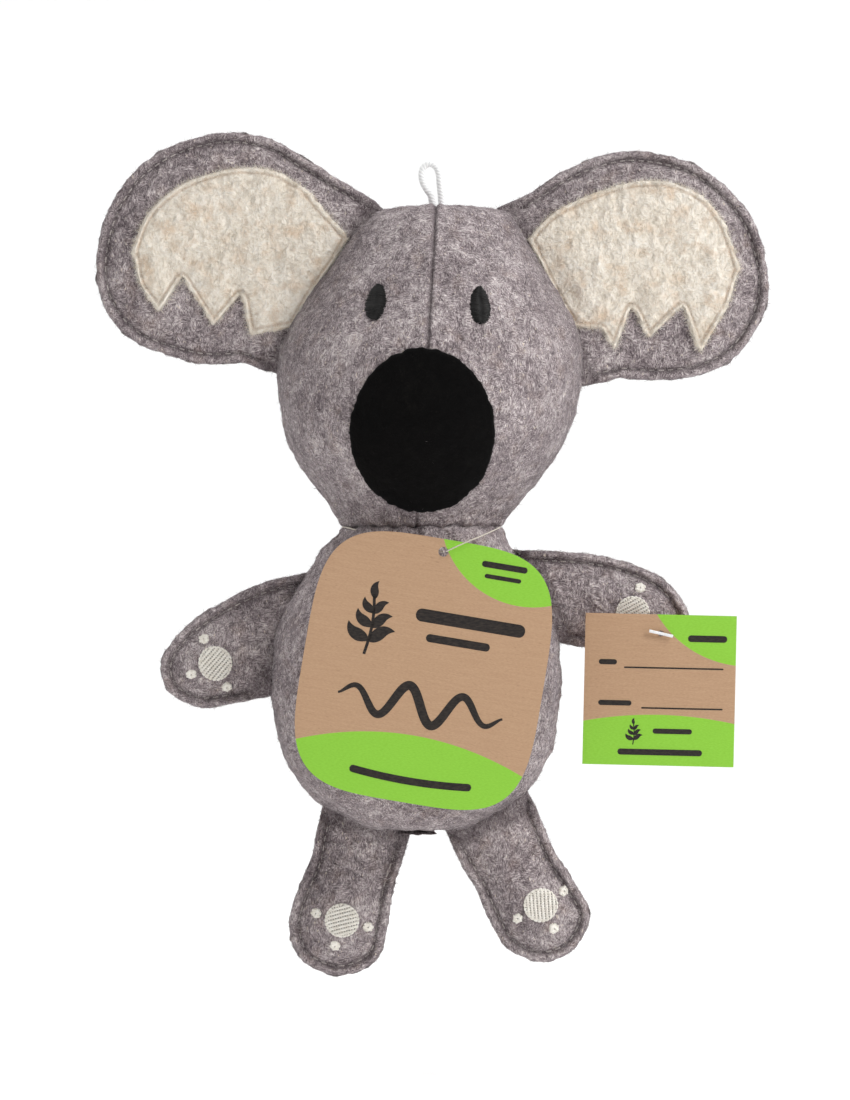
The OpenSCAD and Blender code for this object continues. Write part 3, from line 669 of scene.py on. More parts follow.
def make_body():
    """The same for the body, with its seams down both sides."""
    smooth = egg(body_profile, body_angles)
    smooth = smooth + swell("body_fill", body_profile, body_angles, [-180, 0])
    out = normals_of(smooth, True)
    middle = body_profile[:, 1, None]
    shown = np.abs(smooth[..., 0] - middle) > 2 * MM
    shown &= smooth[..., 2] > smooth[..., 2].min() + 5 * MM
    away = np.where(shown, np.abs(smooth[..., 1]), 1.0)
    near_neck = bell(smooth[..., 2] - neck_z + 4 * MM, 7 * MM)
    gathers = 0.5 * MM * near_neck * np.sin(17 * body_angles + 3 * bumps(smooth, 20 * MM, 6))
    grid = smooth + out * (felt(smooth, 31) + seam_shape(away) + gathers)[..., None]
    top, bottom = grid[0].mean(0), grid[-1].mean(0) - [0, 0, 0.1 * MM]
    made = ring_skin("body_skin", grid, top, bottom)
    # Painted shade in the side seam grooves, for the wool's colour to darken.
    paint(made, "seam_shade", np.append(0.6 * bell(away, 0.8 * MM).ravel(), [0, 0]))
    return made, EggCloth(body_profile, body_angles, grid)


body_skin, body_cloth = make_body()
print("body skin:", len(body_skin.data.polygons), "faces")

# %% [markdown]
# ## Stray fibres
# What makes felt look like wool is its nap: short fibres that lie every way, lighter and darker
# than the cloth, with a few that stand off and blur the outline. Blender's hair would render
# well, but it can't go with an exported mesh, so each fibre is a needle of ten faces: three
# points at the root, three at the bend and one tip. They are all worked out at once.


# %% Nap
def nap(name, grid, normals, count, length, seed, width=0.11 * MM, stand=0.22, rows=None):
    """count needles on a grid, spread by area. Root r; direction along the cloth d; outward n;
    sideways s. The bend is r + L (0.5 d + 0.6 k n + 0.15 c s) and the tip r + L (0.9 d + k n +
    0.5 c s), with k how far it stands off, c its curl and L its length."""
    rng = np.random.default_rng(seed)
    first, last = rows if rows else (0, len(grid) - 1)
    part = grid[first:last + 1]
    across = np.roll(part, -1, axis=1) - part
    down = np.diff(part, axis=0)
    area = np.linalg.norm(np.cross(across[:-1], down), axis=-1)
    cell = rng.choice(area.size, count, p=area.ravel() / area.sum())
    row = first + cell // area.shape[1] + rng.random(count)
    col = cell % area.shape[1] + rng.random(count)
    root, n = sample(grid, row, col), unit(sample(normals, row, col))
    d = unit(np.cross(n, rng.normal(size=(count, 3))))
    s = np.cross(n, d)
    size = length * rng.uniform(0.5, 1.3, (count, 1))
    lift = stand * rng.uniform(0.1, 1.0, (count, 1)) ** 2
    curl = rng.uniform(-1, 1, (count, 1))
    bend = root + size * (0.5 * d + 0.6 * lift * n + 0.15 * curl * s)
    tip = root + size * (0.9 * d + lift * n + 0.5 * curl * s)
    turn = np.radians([0, 120, 240])[:, None]
    ring = width / 2 * (np.cos(turn) * s[:, None] + np.sin(turn) * n[:, None])
    points = np.concatenate([(root - 0.05 * size * n)[:, None] + ring, bend[:, None] + 0.8 * ring,
                             tip[:, None]], axis=1)
    base = 7 * np.arange(count)[:, None, None]
    sides = np.array([[0, 1, 4, 3], [1, 2, 5, 4], [2, 0, 3, 5]])
    ends = np.array([[3, 4, 6], [4, 5, 6], [5, 3, 6], [2, 1, 0]])
    made = mesh_object(name, points.reshape(-1, 3), (base + sides).reshape(-1, 4),
                       (base + ends).reshape(-1, 3))
    paint(made, "tone", np.repeat(rng.random(count), 7))
    return made


head_nap = nap("head_nap", head_cloth.grid, head_cloth.normals, 16000, 2.3 * MM, 71)
body_nap = nap("body_nap", body_cloth.grid, body_cloth.normals, 13000, 2.3 * MM, 72)
print("nap:", len(head_nap.data.polygons) + len(body_nap.data.polygons), "faces")


def follow_head(*pieces):
    """Bakes each piece's place into its mesh."""
    for piece in pieces:
        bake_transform(piece)


def follow_body(*pieces):
    """Bakes each piece's place into its mesh."""
    for piece in pieces:
        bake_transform(piece)


follow_head(head_skin, head_nap)
follow_body(body_skin, body_nap)
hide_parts("head_cover_left", "head_cover_right", "head_cover_back")
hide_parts("body_cover_front", "body_cover_back", "neck_cover")

# %% [markdown]
# ## Ears, arms and legs: two plies sewn round the edge
# Each flat piece is two layers of felt with a little fill between, laid edge to edge and sewn
# 3 mm in. So from the side it shows two cut edges, and from the front a puffy rim, then the
# sunk line of stitches, then the filled middle. One thick slab with a bump would lose the cut
# edges, so each ply is its own closed surface: a profile from the middle out to the edge, round
# the lip and back on the inside, carried once round the outline. The outlines come from the
# working model, and the roots run on into the head or body, past their hinges.


# %% Outlines and hinges
def hinge(name):
    """A fold joint as a point and a direction, both as x and z."""
    found = next(j for j in frame["joints"] if j["name"] == name)
    return np.array(found["pos_m"])[[0, 2]], unit(np.array(found["axis"])[[0, 2]])


def outline_of(ply, count):
    """The outline of a flat part: the points at the depth where it is widest, in order round
    their middle, on a smooth closed curve. Returns the curve and the middle."""
    found = points_of(ply)
    depths = np.unique(np.round(found[:, 1], 6))
    spans = [np.ptp(found[np.abs(found[:, 1] - depth) < 2e-6, 0]) for depth in depths]
    edge = found[np.abs(found[:, 1] - depths[np.argmax(spans)]) < 2e-6][:, [0, 2]]
    edge = np.unique(np.round(edge, 6), axis=0)
    middle = (edge.min(0) + edge.max(0)) / 2
    edge = edge[np.argsort(np.arctan2(*(edge - middle).T[::-1]))]
    curve = through(edge, 2400, closed=True)
    return evenly(np.concatenate([curve, curve[:1]]), count + 1)[:-1], middle


ROOT_SOFT = 8.0 * MM


def rooted(outline, middle, joint, reach, lean):
    """The outline with its root pushed to reach past the hinge, into the head or body, and how
    much each point belongs to the root, from 0 to 1. The push is square to the hinge, and leans
    over to run along the piece where lean is 1."""
    place, along = hinge(joint)
    inward = np.array([along[1], -along[0]])
    inward = inward * (1 if (place - middle) @ inward > 0 else -1)
    push = unit(inward + lean * unit(place - middle))
    away = (place - outline) @ inward
    root = 1 - ease(away - max(away.min(), 0), 1.5 * MM, ROOT_SOFT)
    return outline + (root * (away + reach) / (push @ inward))[:, None] * push, root


# %% Depth of a ply
FELT = 1.6 * MM
STITCH_IN = 3.2 * MM
LIP = 0.8 * MM
RIM_DISTS = MM * np.array([0, 0.12, 0.35, 0.8, 1.2, 1.6, 2.0, 2.35, 2.65, 2.9, 3.1, 3.3, 3.5,
                           3.8, 4.2, 4.7, 5.3, 6.0, 7.0, 8.0])
MIDDLE_STEPS = 20
INSIDE_DISTS = MM * np.array([0.12, 0.35, 0.8, 3, 8])
INSIDE_STEPS = 6


def ply_depth(away, full):
    """How far the front of a ply stands from the middle plane, by its distance from the free
    edge: the felt itself, a bead for the rim, a groove at the stitches, and the fill."""
    bead = 1.25 * MM * bell(away - 1.5 * MM, 1.2 * MM)
    groove = -0.5 * MM * bell(away - STITCH_IN, 0.6 * MM)
    fill = (full - FELT) * ease(away, STITCH_IN - 0.4 * MM, STITCH_IN + 9 * MM) ** 0.7
    return FELT + bead + groove + fill


class FlatCloth:
    """One ply: its grid from the middle to the edge, and its surface at any place."""

    def __init__(self, outline, middle, grid, normals):
        self.middle, self.grid, self.normals = middle, grid, normals
        spokes = outline - middle
        self.reach = np.linalg.norm(spokes, axis=1)
        self.angle = np.unwrap(np.arctan2(spokes[:, 1], spokes[:, 0]))

    def at(self, x, z):
        """The cloth's points and outward directions at (x, z): the column from the angle round
        the middle, the row from the distance to the edge along that spoke."""
        dx, dz = x - self.middle[0], z - self.middle[1]
        angle = np.arctan2(dz, dx)
        angle = self.angle[0] + (angle - self.angle[0]) % (2 * np.pi)
        index = np.arange(len(self.angle) + 1)
        col = np.interp(angle, np.append(self.angle, self.angle[0] + 2 * np.pi), index)
        reach = np.interp(col, index, np.append(self.reach, self.reach[0]))
        spoke = np.hypot(dx, dz)
        away = reach - spoke
        edge_row = MIDDLE_STEPS + len(RIM_DISTS) - 1
        rim = edge_row - np.interp(away, RIM_DISTS, np.arange(len(RIM_DISTS)))
        inner = MIDDLE_STEPS * spoke / (reach - RIM_DISTS[-1])
        row = np.where(away < RIM_DISTS[-1], rim, inner)
        return sample(self.grid, row, col), unit(sample(self.normals, row, col))


def make_ply(name, outline, middle, root, side, full, seed, inside):
    """One ply. side is -1 for the front and 1 for the back. A point is middle + (outline -
    middle) share across, and side times its depth along y. Near the edge both faces of the felt
    round over into the lip: depth = FELT / 2 (1 + or - sqrt(1 - (1 - d / lip)^2))."""
    spokes = outline - middle
    reach = np.linalg.norm(spokes, axis=1)
    ragged = 0.35 * bumps(np.insert(outline, 1, 0, axis=1), 3.1 * MM, seed)
    ragged += 0.22 * bumps(np.insert(outline, 1, 0, axis=1), 1.1 * MM, seed + 1)
    reach = reach + MM * ragged
    spokes = unit(spokes)
    rim = reach[None] - RIM_DISTS[::-1, None]
    steps = np.arange(1, MIDDLE_STEPS)[:, None] / MIDDLE_STEPS
    outer = np.concatenate([steps * rim[:1], rim])
    back = reach[None] - INSIDE_DISTS[:, None]
    steps = np.arange(INSIDE_STEPS - 1, 0, -1)[:, None] / INSIDE_STEPS
    inner = np.concatenate([back, steps * back[-1:]])
    flat = middle + np.concatenate([outer, inner])[..., None] * spokes
    free = outline[root < 0.5]
    away = distance_to(flat, outline)
    free_away = np.min(np.stack([np.linalg.norm(flat - p, axis=-1) for p in free[::2]]), axis=0)
    lip = np.sqrt(1 - (1 - np.clip(away / LIP, 0, 1)) ** 2)
    lip[len(outer) - 1] = 0
    depth = ply_depth(free_away, full)
    front = FELT / 2 + (depth - FELT / 2) * lip
    hidden = FELT / 2 - (FELT / 2 - 0.08 * MM) * lip + np.maximum(depth - 1.1 * FELT, 0) * lip
    is_outer = np.arange(len(flat))[:, None] < len(outer)
    y = side * np.where(is_outer, front, hidden)
    grid = np.stack([flat[..., 0], y, flat[..., 1]], axis=-1)
    out = normals_of(grid, True)
    out = out * np.sign(side * out[:len(outer) - 3, :, 1].mean())
    lumps = felt(grid, seed + 2) * np.where(is_outer, np.clip(away / MM, 0.2, 1), 0)
    grid = grid + out * lumps[..., None]
    start = np.array([middle[0], grid[0, :, 1].mean(), middle[1]])
    end = np.array([middle[0], grid[-1, :, 1].mean(), middle[1]])
    made = ring_skin(name, grid, start, end)
    # Painted shade in the stitch groove and where the ply runs into the head or body, for the wool's
    # colour to darken.
    groove = bell(free_away - STITCH_IN, 0.85 * MM) * is_outer
    crease = 0.9 * (1 - ease(distance_to_seam(flat, outline, root), inside, inside + 5 * MM))
    crease = crease * is_outer
    paint(made, "seam_shade", np.append(np.maximum(groove, crease).ravel(), [0, 0]))
    shown = np.concatenate([np.broadcast_to(start, grid[:1].shape), grid[:len(outer)]])
    facing = unit(np.broadcast_to(out[0].mean(0), out[:1].shape))
    cloth = FlatCloth(middle + reach[:, None] * spokes, middle, shown,
                      np.concatenate([facing, out[:len(outer)]]))
    return made, cloth


def distance_to_seam(flat, outline, root):
    """The distance from each point to the nearest point of the outline that belongs to the
    root."""
    seam = outline[root > 0.9]
    return np.min(np.stack([np.linalg.norm(flat - p, axis=-1) for p in seam[::3]]), axis=0)


print("one ply has", MIDDLE_STEPS + len(RIM_DISTS) + len(INSIDE_DISTS) + INSIDE_STEPS, "rows")

# %% Make the six flat pieces
EAR_FULL = 3.9 * MM
LIMB_FULL = 5.0 * MM
PLY_COLUMNS = 300
EAR_REACH = 6.0 * MM
LIMB_REACH = 9.5 * MM
# name, parent body, half thickness, reach of the root, needles of nap on each side
FLAT_PIECES = [("ear_left", "head", EAR_FULL, EAR_REACH, 5200),
               ("ear_right", "head", EAR_FULL, EAR_REACH, 5200),
               ("arm_left", "torso", LIMB_FULL, LIMB_REACH, 2600),
               ("arm_right", "torso", LIMB_FULL, LIMB_REACH, 2600),
               ("leg_left", "torso", LIMB_FULL, LIMB_REACH, 2800),
               ("leg_right", "torso", LIMB_FULL, LIMB_REACH, 2800)]
ROOT_SHADE_IN = 1.5 * MM


def bend_over(piece, part):
    """Finds the fold joint and the side of it that the piece lies on, and bakes the piece's place
    into its mesh."""
    place, along = hinge(part + "_fold")
    outwards = np.array([along[1], -along[0]])
    outwards = outwards * (1 if (cloths[part + "_front"].middle - place) @ outwards > 0 else -1)
    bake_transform(piece)


cloths, plies, flat_roots = {}, {}, {}
for number, (part, parent, full, reach, needles) in enumerate(FLAT_PIECES):
    outline, middle = outline_of(part + "_front_ply", PLY_COLUMNS)
    # an arm's root runs on along the arm, the others' run square to the hinge
    lean = 1.0 if part.startswith("arm") else 0.0
    outline, root = rooted(outline, middle, part + "_fold", reach, lean)
    flat_roots[part] = (outline, middle, root)
    for face, side in (("front", -1), ("back", 1)):
        key = f"{part}_{face}"
        seed = 100 + 20 * number + 7 * side
        plies[key], cloths[key] = make_ply(key, outline, middle, root, side, full, seed,
                                            reach - ROOT_SHADE_IN)
        shown = cloths[key]
        hair = nap(key + "_nap", shown.grid, shown.normals, needles, 2.2 * MM, seed + 5)
        plies[key + "_nap"] = hair
        for piece in (plies[key], hair):
            bend_over(piece, part)
        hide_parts(f"{part}_{face}_ply")
    inside = "batting" if part.startswith("ear") else "filling"
    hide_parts(f"{part}_{inside}")
print("flat pieces:", sorted(k for k in plies if not k.endswith("nap")))

# %% [markdown]
# ## Stitches
# Thread is what holds the toy together and draws its face and paws. A painted line would look
# flat from the side, so every stitch is a short tube of thread that dives into the cloth at
# both ends. All the stitches of one row or patch are worked out together: paths is an array of
# stitches by points, and one formula makes every ring of every stitch.


# %% Thread
def threads(name, paths, normals, width, flat=0.8):
    """Tubes along many short paths at once. Each ring is the path point plus half the width
    times (side cos + flat over sin), where side is along crossed with the cloth's normal, and
    it narrows towards both ends as (1 - (2s - 1)^6)^0.5."""
    count, length = paths.shape[:2]
    sides = 6
    along = unit(np.gradient(paths, axis=1))
    side = unit(np.cross(along, normals))
    over = np.cross(side, along)
    turn = np.linspace(0, 2 * np.pi, sides, endpoint=False)[:, None]
    s = np.linspace(0, 1, length)
    narrow = np.sqrt(1 - 0.75 * (2 * s - 1) ** 6)[:, None, None]
    rings = paths[:, :, None] + width / 2 * narrow * (
        side[:, :, None] * np.cos(turn) + flat * over[:, :, None] * np.sin(turn))
    ends = np.stack([paths[:, 0] - 0.3 * width * along[:, 0],
                     paths[:, -1] + 0.3 * width * along[:, -1]], axis=1)
    points = np.concatenate([rings.reshape(count, -1, 3), ends], axis=1)
    size = length * sides + 2
    j = np.arange(sides)
    beside = (j + 1) % sides
    foot = (length - 1) * sides
    tris = np.concatenate([np.stack([beside, j, np.full(sides, size - 2)], axis=1),
                           np.stack([foot + j, foot + beside, np.full(sides, size - 1)], axis=1)])
    base = size * np.arange(count)[:, None, None]
    made = mesh_object(name, points.reshape(-1, 3),
                       (base + ring_quads(length, sides)).reshape(-1, 4),
                       (base + tris).reshape(-1, 3))
    tone = np.random.default_rng(count).random(count)
    paint(made, "tone", np.repeat(tone, size))
    lay_uv(made, np.tile(np.append(np.repeat(s, sides), [0, 1]), count),
           np.tile(np.append(np.tile(j / sides, length), [0, 0]), count))
    return made


def hop(length, rise, sink):
    """The height of one stitch above the cloth along its path: rise in the middle, sink below
    the cloth at both ends, as rise - (rise + sink) (2s - 1)^4."""
    s = np.linspace(0, 1, length)
    return rise - (rise + sink) * (2 * s - 1) ** 4


def stitches_on(cloth, starts, ends, rise, sink, points=7):
    """Paths of stitches from starts to ends, both as x and z, laid on the cloth."""
    s = np.linspace(0, 1, points)[:, None]
    flat = starts[:, None] * (1 - s) + ends[:, None] * s
    where, out = cloth.at(flat[..., 0].ravel(), flat[..., 1].ravel())
    where, out = where.reshape(len(starts), points, 3), out.reshape(len(starts), points, 3)
    return where + out * hop(points, rise, sink)[None, :, None], out


print("thread ready")

# %% Topstitch round the free edges
STITCH_LENGTH = 2.3 * MM
STITCH_PITCH = 3.1 * MM


def inset(outline, middle, depth):
    """The outline moved inwards by depth at right angles to itself, evenly spaced."""
    along = unit(np.roll(outline, -1, axis=0) - np.roll(outline, 1, axis=0))
    inward = np.stack([-along[:, 1], along[:, 0]], axis=1)
    turn = np.sign(np.einsum("ij,ij->i", inward, middle - outline).mean())
    return outline + turn * depth * inward


def topstitch_row(name, part, face):
    """Stitches along the line STITCH_IN from the free edge, on one face of a flat piece."""
    outline, middle, root = flat_roots[part]
    line = inset(outline, middle, STITCH_IN)
    start = int(np.argmax(root))
    line, free = np.roll(line, -start, axis=0), np.roll(root, -start) < 0.35
    line = line[free]
    line = evenly(line, 2000)
    count = int(length_of(line) / STITCH_PITCH)
    jitter = np.random.default_rng(count).uniform(-0.12, 0.12, count) * MM
    at = (np.arange(count) + 0.2) * STITCH_PITCH + jitter
    s = np.linspace(0, length_of(line), len(line))
    starts = np.stack([np.interp(at, s, line[:, k]) for k in (0, 1)], axis=1)
    ends = np.stack([np.interp(at + STITCH_LENGTH, s, line[:, k]) for k in (0, 1)], axis=1)
    paths, out = stitches_on(cloths[f"{part}_{face}"], starts, ends, 0.12 * MM, 0.3 * MM)
    return threads(name, paths, out, 0.42 * MM)


stitch_rows = {}
for part, parent, *sizes in FLAT_PIECES:
    for face in ("front", "back"):
        row = topstitch_row(f"{part}_{face}_topstitch", part, face)
        bend_over(row, part)
        stitch_rows[row.name] = row
    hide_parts(f"{part}_topstitch")
print("topstitch rows:", len(stitch_rows))

# %% [markdown]
# ## The face
# The nose is a big oval of black velour, sewn on over the seam. It is a little egg-shaped and
# its cut edge is not quite even. The eyes are satin stitch: black threads laid side by side
# from edge to edge, shorter towards the top and bottom, so that the outline is slightly spiky.

# %% Nose patch
NOSE_RINGS = 46
NOSE_THICK = 1.3 * MM
nose_lo, nose_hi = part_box("nose_patch")
nose_middle = np.array([(nose_lo.x + nose_hi.x) / 2, (nose_lo.z + nose_hi.z) / 2])
nose_half = np.array([(nose_hi.x - nose_lo.x) / 2, (nose_hi.z - nose_lo.z) / 2])


def make_nose():
    """An oval whose radius is the ellipse's, with the top narrower by 0.06 sin a, and a ragged
    edge. From the middle it runs out over the face at NOSE_THICK, rounds down over the edge as
    the square root of (1 - (1 - d / edge)^2), and comes back inside the cloth."""
    turn = np.linspace(0, 2 * np.pi, 260, endpoint=False)
    narrow = 1 - 0.05 * np.maximum(np.sin(turn), 0)
    edge = np.stack([np.cos(turn) * narrow, np.sin(turn)], axis=1) * nose_half
    place = np.insert(edge, 1, 0, axis=1)
    ragged = 1 + 0.010 * bumps(place, 2.4 * MM, 41) + 0.008 * bumps(place, 0.9 * MM, 42)
    share = 1 - (1 - np.linspace(0, 1, NOSE_RINGS + 1)[1:]) ** 1.6
    share = np.concatenate([share, [0.985, 0.9, 0.5]])[:, None, None]
    flat = nose_middle + share * edge * np.where(share < 0.8, 1, ragged[:, None])
    surface, out = face_cloth.at(flat[..., 0].ravel(), flat[..., 1].ravel())
    surface, out = surface.reshape(flat.shape[:2] + (3,)), out.reshape(flat.shape[:2] + (3,))
    away = (1 - share[..., 0]) * nose_half.mean()
    top = NOSE_THICK * np.sqrt(1 - (1 - np.clip(away / (1.4 * MM), 0, 1)) ** 2)
    lift = np.where(np.arange(len(share))[:, None] < NOSE_RINGS, top, -0.5 * MM)
    lift = lift + 0.10 * MM * bumps(surface, 2.2 * MM, 43) + 0.25 * MM * bumps(
        surface, 11 * MM, 44) * np.clip(away / (4 * MM), 0, 1)
    grid = surface + out * lift[..., None]
    made = ring_skin("nose_velour", grid, grid[0].mean(0), grid[-1].mean(0))
    return made, grid, out


nose_velour, nose_grid, nose_out = make_nose()
nose_nap = nap("nose_nap", nose_grid, nose_out, 5200, 0.9 * MM, 81, width=0.08 * MM, stand=0.6,
               rows=(1, NOSE_RINGS - 1))
for piece in (nose_velour, nose_nap):
    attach(piece, "head")
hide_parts("nose_patch")
print("nose:", np.round(2 * nose_half / MM, 1), "mm")

# %% Satin-stitched eyes
EYE_PITCH = 0.40 * MM
# name, turn in degrees: the top leans towards the middle of the face
EYES = [("eye_left", 4), ("eye_right", -8)]


def make_eye(name, lean, seed):
    """Threads from edge to edge of an egg-shaped oval. At height v the half length is
    a (1 - v^2)^0.5 (1 - 0.12 v), with v from -1 at the bottom to 1 at the top, and each end
    is moved a little so that the edge is spiky."""
    box_lo, box_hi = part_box(name)
    middle = np.array([(box_lo.x + box_hi.x) / 2, (box_lo.z + box_hi.z) / 2])
    half_w, half_h = 3.6 * MM, 6.1 * MM
    rng = np.random.default_rng(seed)
    count = int(2 * half_h / EYE_PITCH)
    v = (np.arange(count) + 0.5) / count * 2 - 1
    reach = half_w * np.sqrt(1 - v ** 2) * (1 - 0.12 * v)
    left = -reach + rng.uniform(-0.3, 0.15, count) * MM
    right = reach + rng.uniform(-0.15, 0.3, count) * MM
    slope = rng.uniform(-0.12, 0.12, count) * MM
    starts = np.stack([left, v * half_h - slope], axis=1)
    ends = np.stack([right, v * half_h + slope], axis=1)
    turn = np.radians(lean)
    spin = np.array([[np.cos(turn), -np.sin(turn)], [np.sin(turn), np.cos(turn)]])
    paths, out = stitches_on(head_cloth, middle + starts @ spin.T, middle + ends @ spin.T,
                             0.55 * MM, 0.45 * MM, points=13)
    made = threads(name + "_satin", paths, out, 0.62 * MM)
    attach(made, "head")
    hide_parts(name)
    return made


eyes = [make_eye(name, lean, 51 + k) for k, (name, lean) in enumerate(EYES)]
print("satin stitches per eye:", len(eyes[0].data.polygons) // 84)

# %% [markdown]
# ## Cream fleece in the ears
# Each ear has a patch of cream fleece on its front, with a smooth top and a lower edge cut in
# three points. It is one layer of cloth, edge-stitched 1.7 mm in. Its outline is two lines that
# both run from the inner corner to the outer one, so the patch is a grid: u goes from corner to
# corner and v from the lower line to the upper one, point = (1 - v) low(u) + v high(u).


# %% Fleece insert
FLEECE = 1.5 * MM
EDGE_STITCH_IN = 1.7 * MM
INSERT_COLUMNS = 300
INSERT_ROWS = 70


def insert_lines(node, joint):
    """The upper and lower line of an insert, from the working model's own corner points: those
    above and below the straight line between its two ends. The end at the root is drawn out to
    the root seam. Both lines are sampled at the same places along x."""
    found = points_of(node)
    front = found[found[:, 1] < found[:, 1].min() + 0.1 * MM][:, [0, 2]]
    corners = np.unique(np.round(front, 6), axis=0)
    corners = corners[np.argsort(corners[:, 0])]
    place, along = hinge(joint)
    inward = np.array([along[1], -along[0]])
    inward = inward * (1 if (place - corners.mean(0)) @ inward > 0 else -1)
    away = (place - corners) @ inward
    pull = 6.5 * MM * (1 - ease(away, 6.8 * MM, 8.9 * MM))
    corners = corners + pull[:, None] * inward
    corners = corners[np.argsort(corners[:, 0])]
    first, last = corners[0], corners[-1]
    chord = first[1] + (corners[:, 0] - first[0]) / (last[0] - first[0]) * (last[1] - first[1])
    upper = corners[corners[:, 1] >= chord - 1e-7]
    lower = corners[corners[:, 1] <= chord + 1e-7]
    x = np.linspace(first[0], last[0], INSERT_COLUMNS - len(lower))
    x = np.sort(np.concatenate([x, lower[:, 0]]))
    fine = through(upper, 900)
    high = np.interp(x, fine[:, 0], fine[:, 1])
    low = np.mean([np.interp(x + step, lower[:, 0], lower[:, 1])
                   for step in np.linspace(-0.7, 0.7, 9) * MM], axis=0)
    return x, np.minimum(low, high), high


def slab_faces(rows, cols):
    """Faces of a closed pair of grids, the second one behind the first, joined round the rim."""
    i, j = np.meshgrid(np.arange(rows - 1), np.arange(cols - 1), indexing="ij")
    top = np.stack([i * cols + j, i * cols + j + 1, (i + 1) * cols + j + 1, (i + 1) * cols + j],
                   axis=-1).reshape(-1, 4)
    size = rows * cols
    rim = np.concatenate([np.arange(cols), cols * np.arange(1, rows) + cols - 1,
                          size - 2 - np.arange(cols - 1), cols * np.arange(rows - 2, 0, -1)])
    rim_next = np.roll(rim, -1)
    wall = np.stack([rim_next, rim, rim + size, rim_next + size], axis=1)
    return np.concatenate([top, top[:, ::-1] + size, wall])


def make_insert(part, seed):
    """The patch as a closed slab on the ear's front ply: its height above the ply is the fleece's
    thickness, rounded down at the edge, with a groove at the edge stitch."""
    x, low, high = insert_lines(part + "_insert", part + "_fold")
    v = 0.5 - 0.5 * np.cos(np.linspace(0, np.pi, INSERT_ROWS))[:, None]
    flat = np.stack([np.broadcast_to(x, (INSERT_ROWS, len(x))), low * (1 - v) + high * v], axis=-1)
    outline = np.concatenate([np.stack([x, low], axis=1), np.stack([x, high], axis=1)[::-1]])
    away = distance_to(flat, outline[::3])
    rough = bumps(np.insert(flat, 1, 0, axis=-1), 1.7 * MM, seed) + bumps(
        np.insert(flat, 1, 0, axis=-1), 3.9 * MM, seed + 3)
    flat = flat + (0.32 * MM * rough * (1 - ease(away, 0, 0.8 * MM)))[..., None]
    cloth = cloths[part + "_front"]
    base, out = cloth.at(flat[..., 0].ravel(), flat[..., 1].ravel())
    base, out = base.reshape(INSERT_ROWS, -1, 3), out.reshape(INSERT_ROWS, -1, 3)
    height = FLEECE * np.sqrt(1 - (1 - np.clip(away / (0.9 * MM), 0, 1)) ** 2)
    groove = bell(away - EDGE_STITCH_IN, 0.45 * MM)
    height = height - 0.6 * MM * groove + 0.8 * MM * ease(away, 2 * MM, 9 * MM)
    lumps = 1.3 * felt(base, seed + 1) * np.clip(away / MM, 0, 1)
    height = np.maximum(height + lumps, 0.05 * MM)
    top = base + out * height[..., None]
    under = base - out * 0.25 * MM
    points = np.concatenate([top.reshape(-1, 3), under.reshape(-1, 3)])
    made = mesh_object(part + "_fleece", points, slab_faces(INSERT_ROWS, len(x)))
    # Painted shade in the groove of the edge stitch, for the fleece's colour to darken.
    paint(made, "seam_shade", np.concatenate([groove.ravel(), 0 * groove.ravel()]))
    return made, top, out, outline


def edge_hairs(name, part, outline, seed):
    """Fibres that stand off all round the cut edge of the fleece, rooted on a narrow band that
    runs along it."""
    line = evenly(np.concatenate([outline, outline[:1]]), 601)[:-1]
    centre = line.mean(0)
    band = [line + step * MM * unit(centre - line) for step in (0.1, 0.9)]
    flat = np.stack(band)
    base, out = cloths[part + "_front"].at(flat[..., 0].ravel(), flat[..., 1].ravel())
    base, out = base.reshape(2, -1, 3), out.reshape(2, -1, 3)
    lift = np.array([0.5, 1.2])[:, None, None] * MM
    return nap(name, base + out * lift, out, 3400, 1.7 * MM, seed, width=0.12 * MM, stand=0.5)


inserts = {}
for number, (part, parent) in enumerate((("ear_left", "head"), ("ear_right", "head"))):
    fleece, top, out, outline = make_insert(part, 300 + 10 * number)
    hair = nap(part + "_fleece_nap", top, out, 6500, 1.9 * MM, 301 + 10 * number,
               width=0.12 * MM, stand=0.55, rows=(0, INSERT_ROWS - 2))
    edge = edge_hairs(part + "_fleece_edge", part, outline, 305 + 10 * number)
    for piece in (fleece, hair, edge):
        bend_over(piece, part)
    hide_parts(part + "_insert")
    inserts[part] = (fleece, hair, edge)
    print(fleece.name, "faces:", len(fleece.data.polygons))

# %% [markdown]
# ## Embroidered paws
# Each paw has a disc of cream thread with three dots round it. A machine fills such a disc with
# rows of short stitches, and each row's needle holes show as small dark dashes, a third of a
# stitch further on in every row. So the rows here are cut into short stitches too.

# %% Where the pads are
PAD_RADIUS = 5.5 * MM
FILL_PITCH = 0.5 * MM
FILL_STITCH = 1.9 * MM
FILL_GAP = 0.3 * MM


def pad_places(part):
    """The disc's middle and the dots' middles, from the working model. The disc's middle is the
    place, on a fine grid, that has the most points at PAD_RADIUS from it. The other points fall
    into three dots."""
    found = points_of(part + "_paw_pads")
    flat = np.unique(np.round(found[:, [0, 2]], 5), axis=0)
    x, z = (np.arange(flat[:, k].min(), flat[:, k].max(), 0.1 * MM) for k in (0, 1))
    tries = np.stack(np.meshgrid(x, z), axis=-1).reshape(-1, 2)
    off = np.abs(np.linalg.norm(tries[:, None] - flat[None], axis=-1) - PAD_RADIUS)
    rough = tries[np.argmax((off < 0.15 * MM).sum(1))]
    disc = flat[np.linalg.norm(flat - rough, axis=1) < PAD_RADIUS + 0.6 * MM]
    centre = (disc.min(0) + disc.max(0)) / 2
    dots = flat[np.linalg.norm(flat - centre, axis=1) > PAD_RADIUS + 0.6 * MM]
    middles = []
    while len(dots):
        near = np.linalg.norm(dots - dots[0], axis=1) < 4.0 * MM
        middles.append((dots[near].min(0) + dots[near].max(0)) / 2)
        dots = dots[~near]
    return centre, np.array(middles)


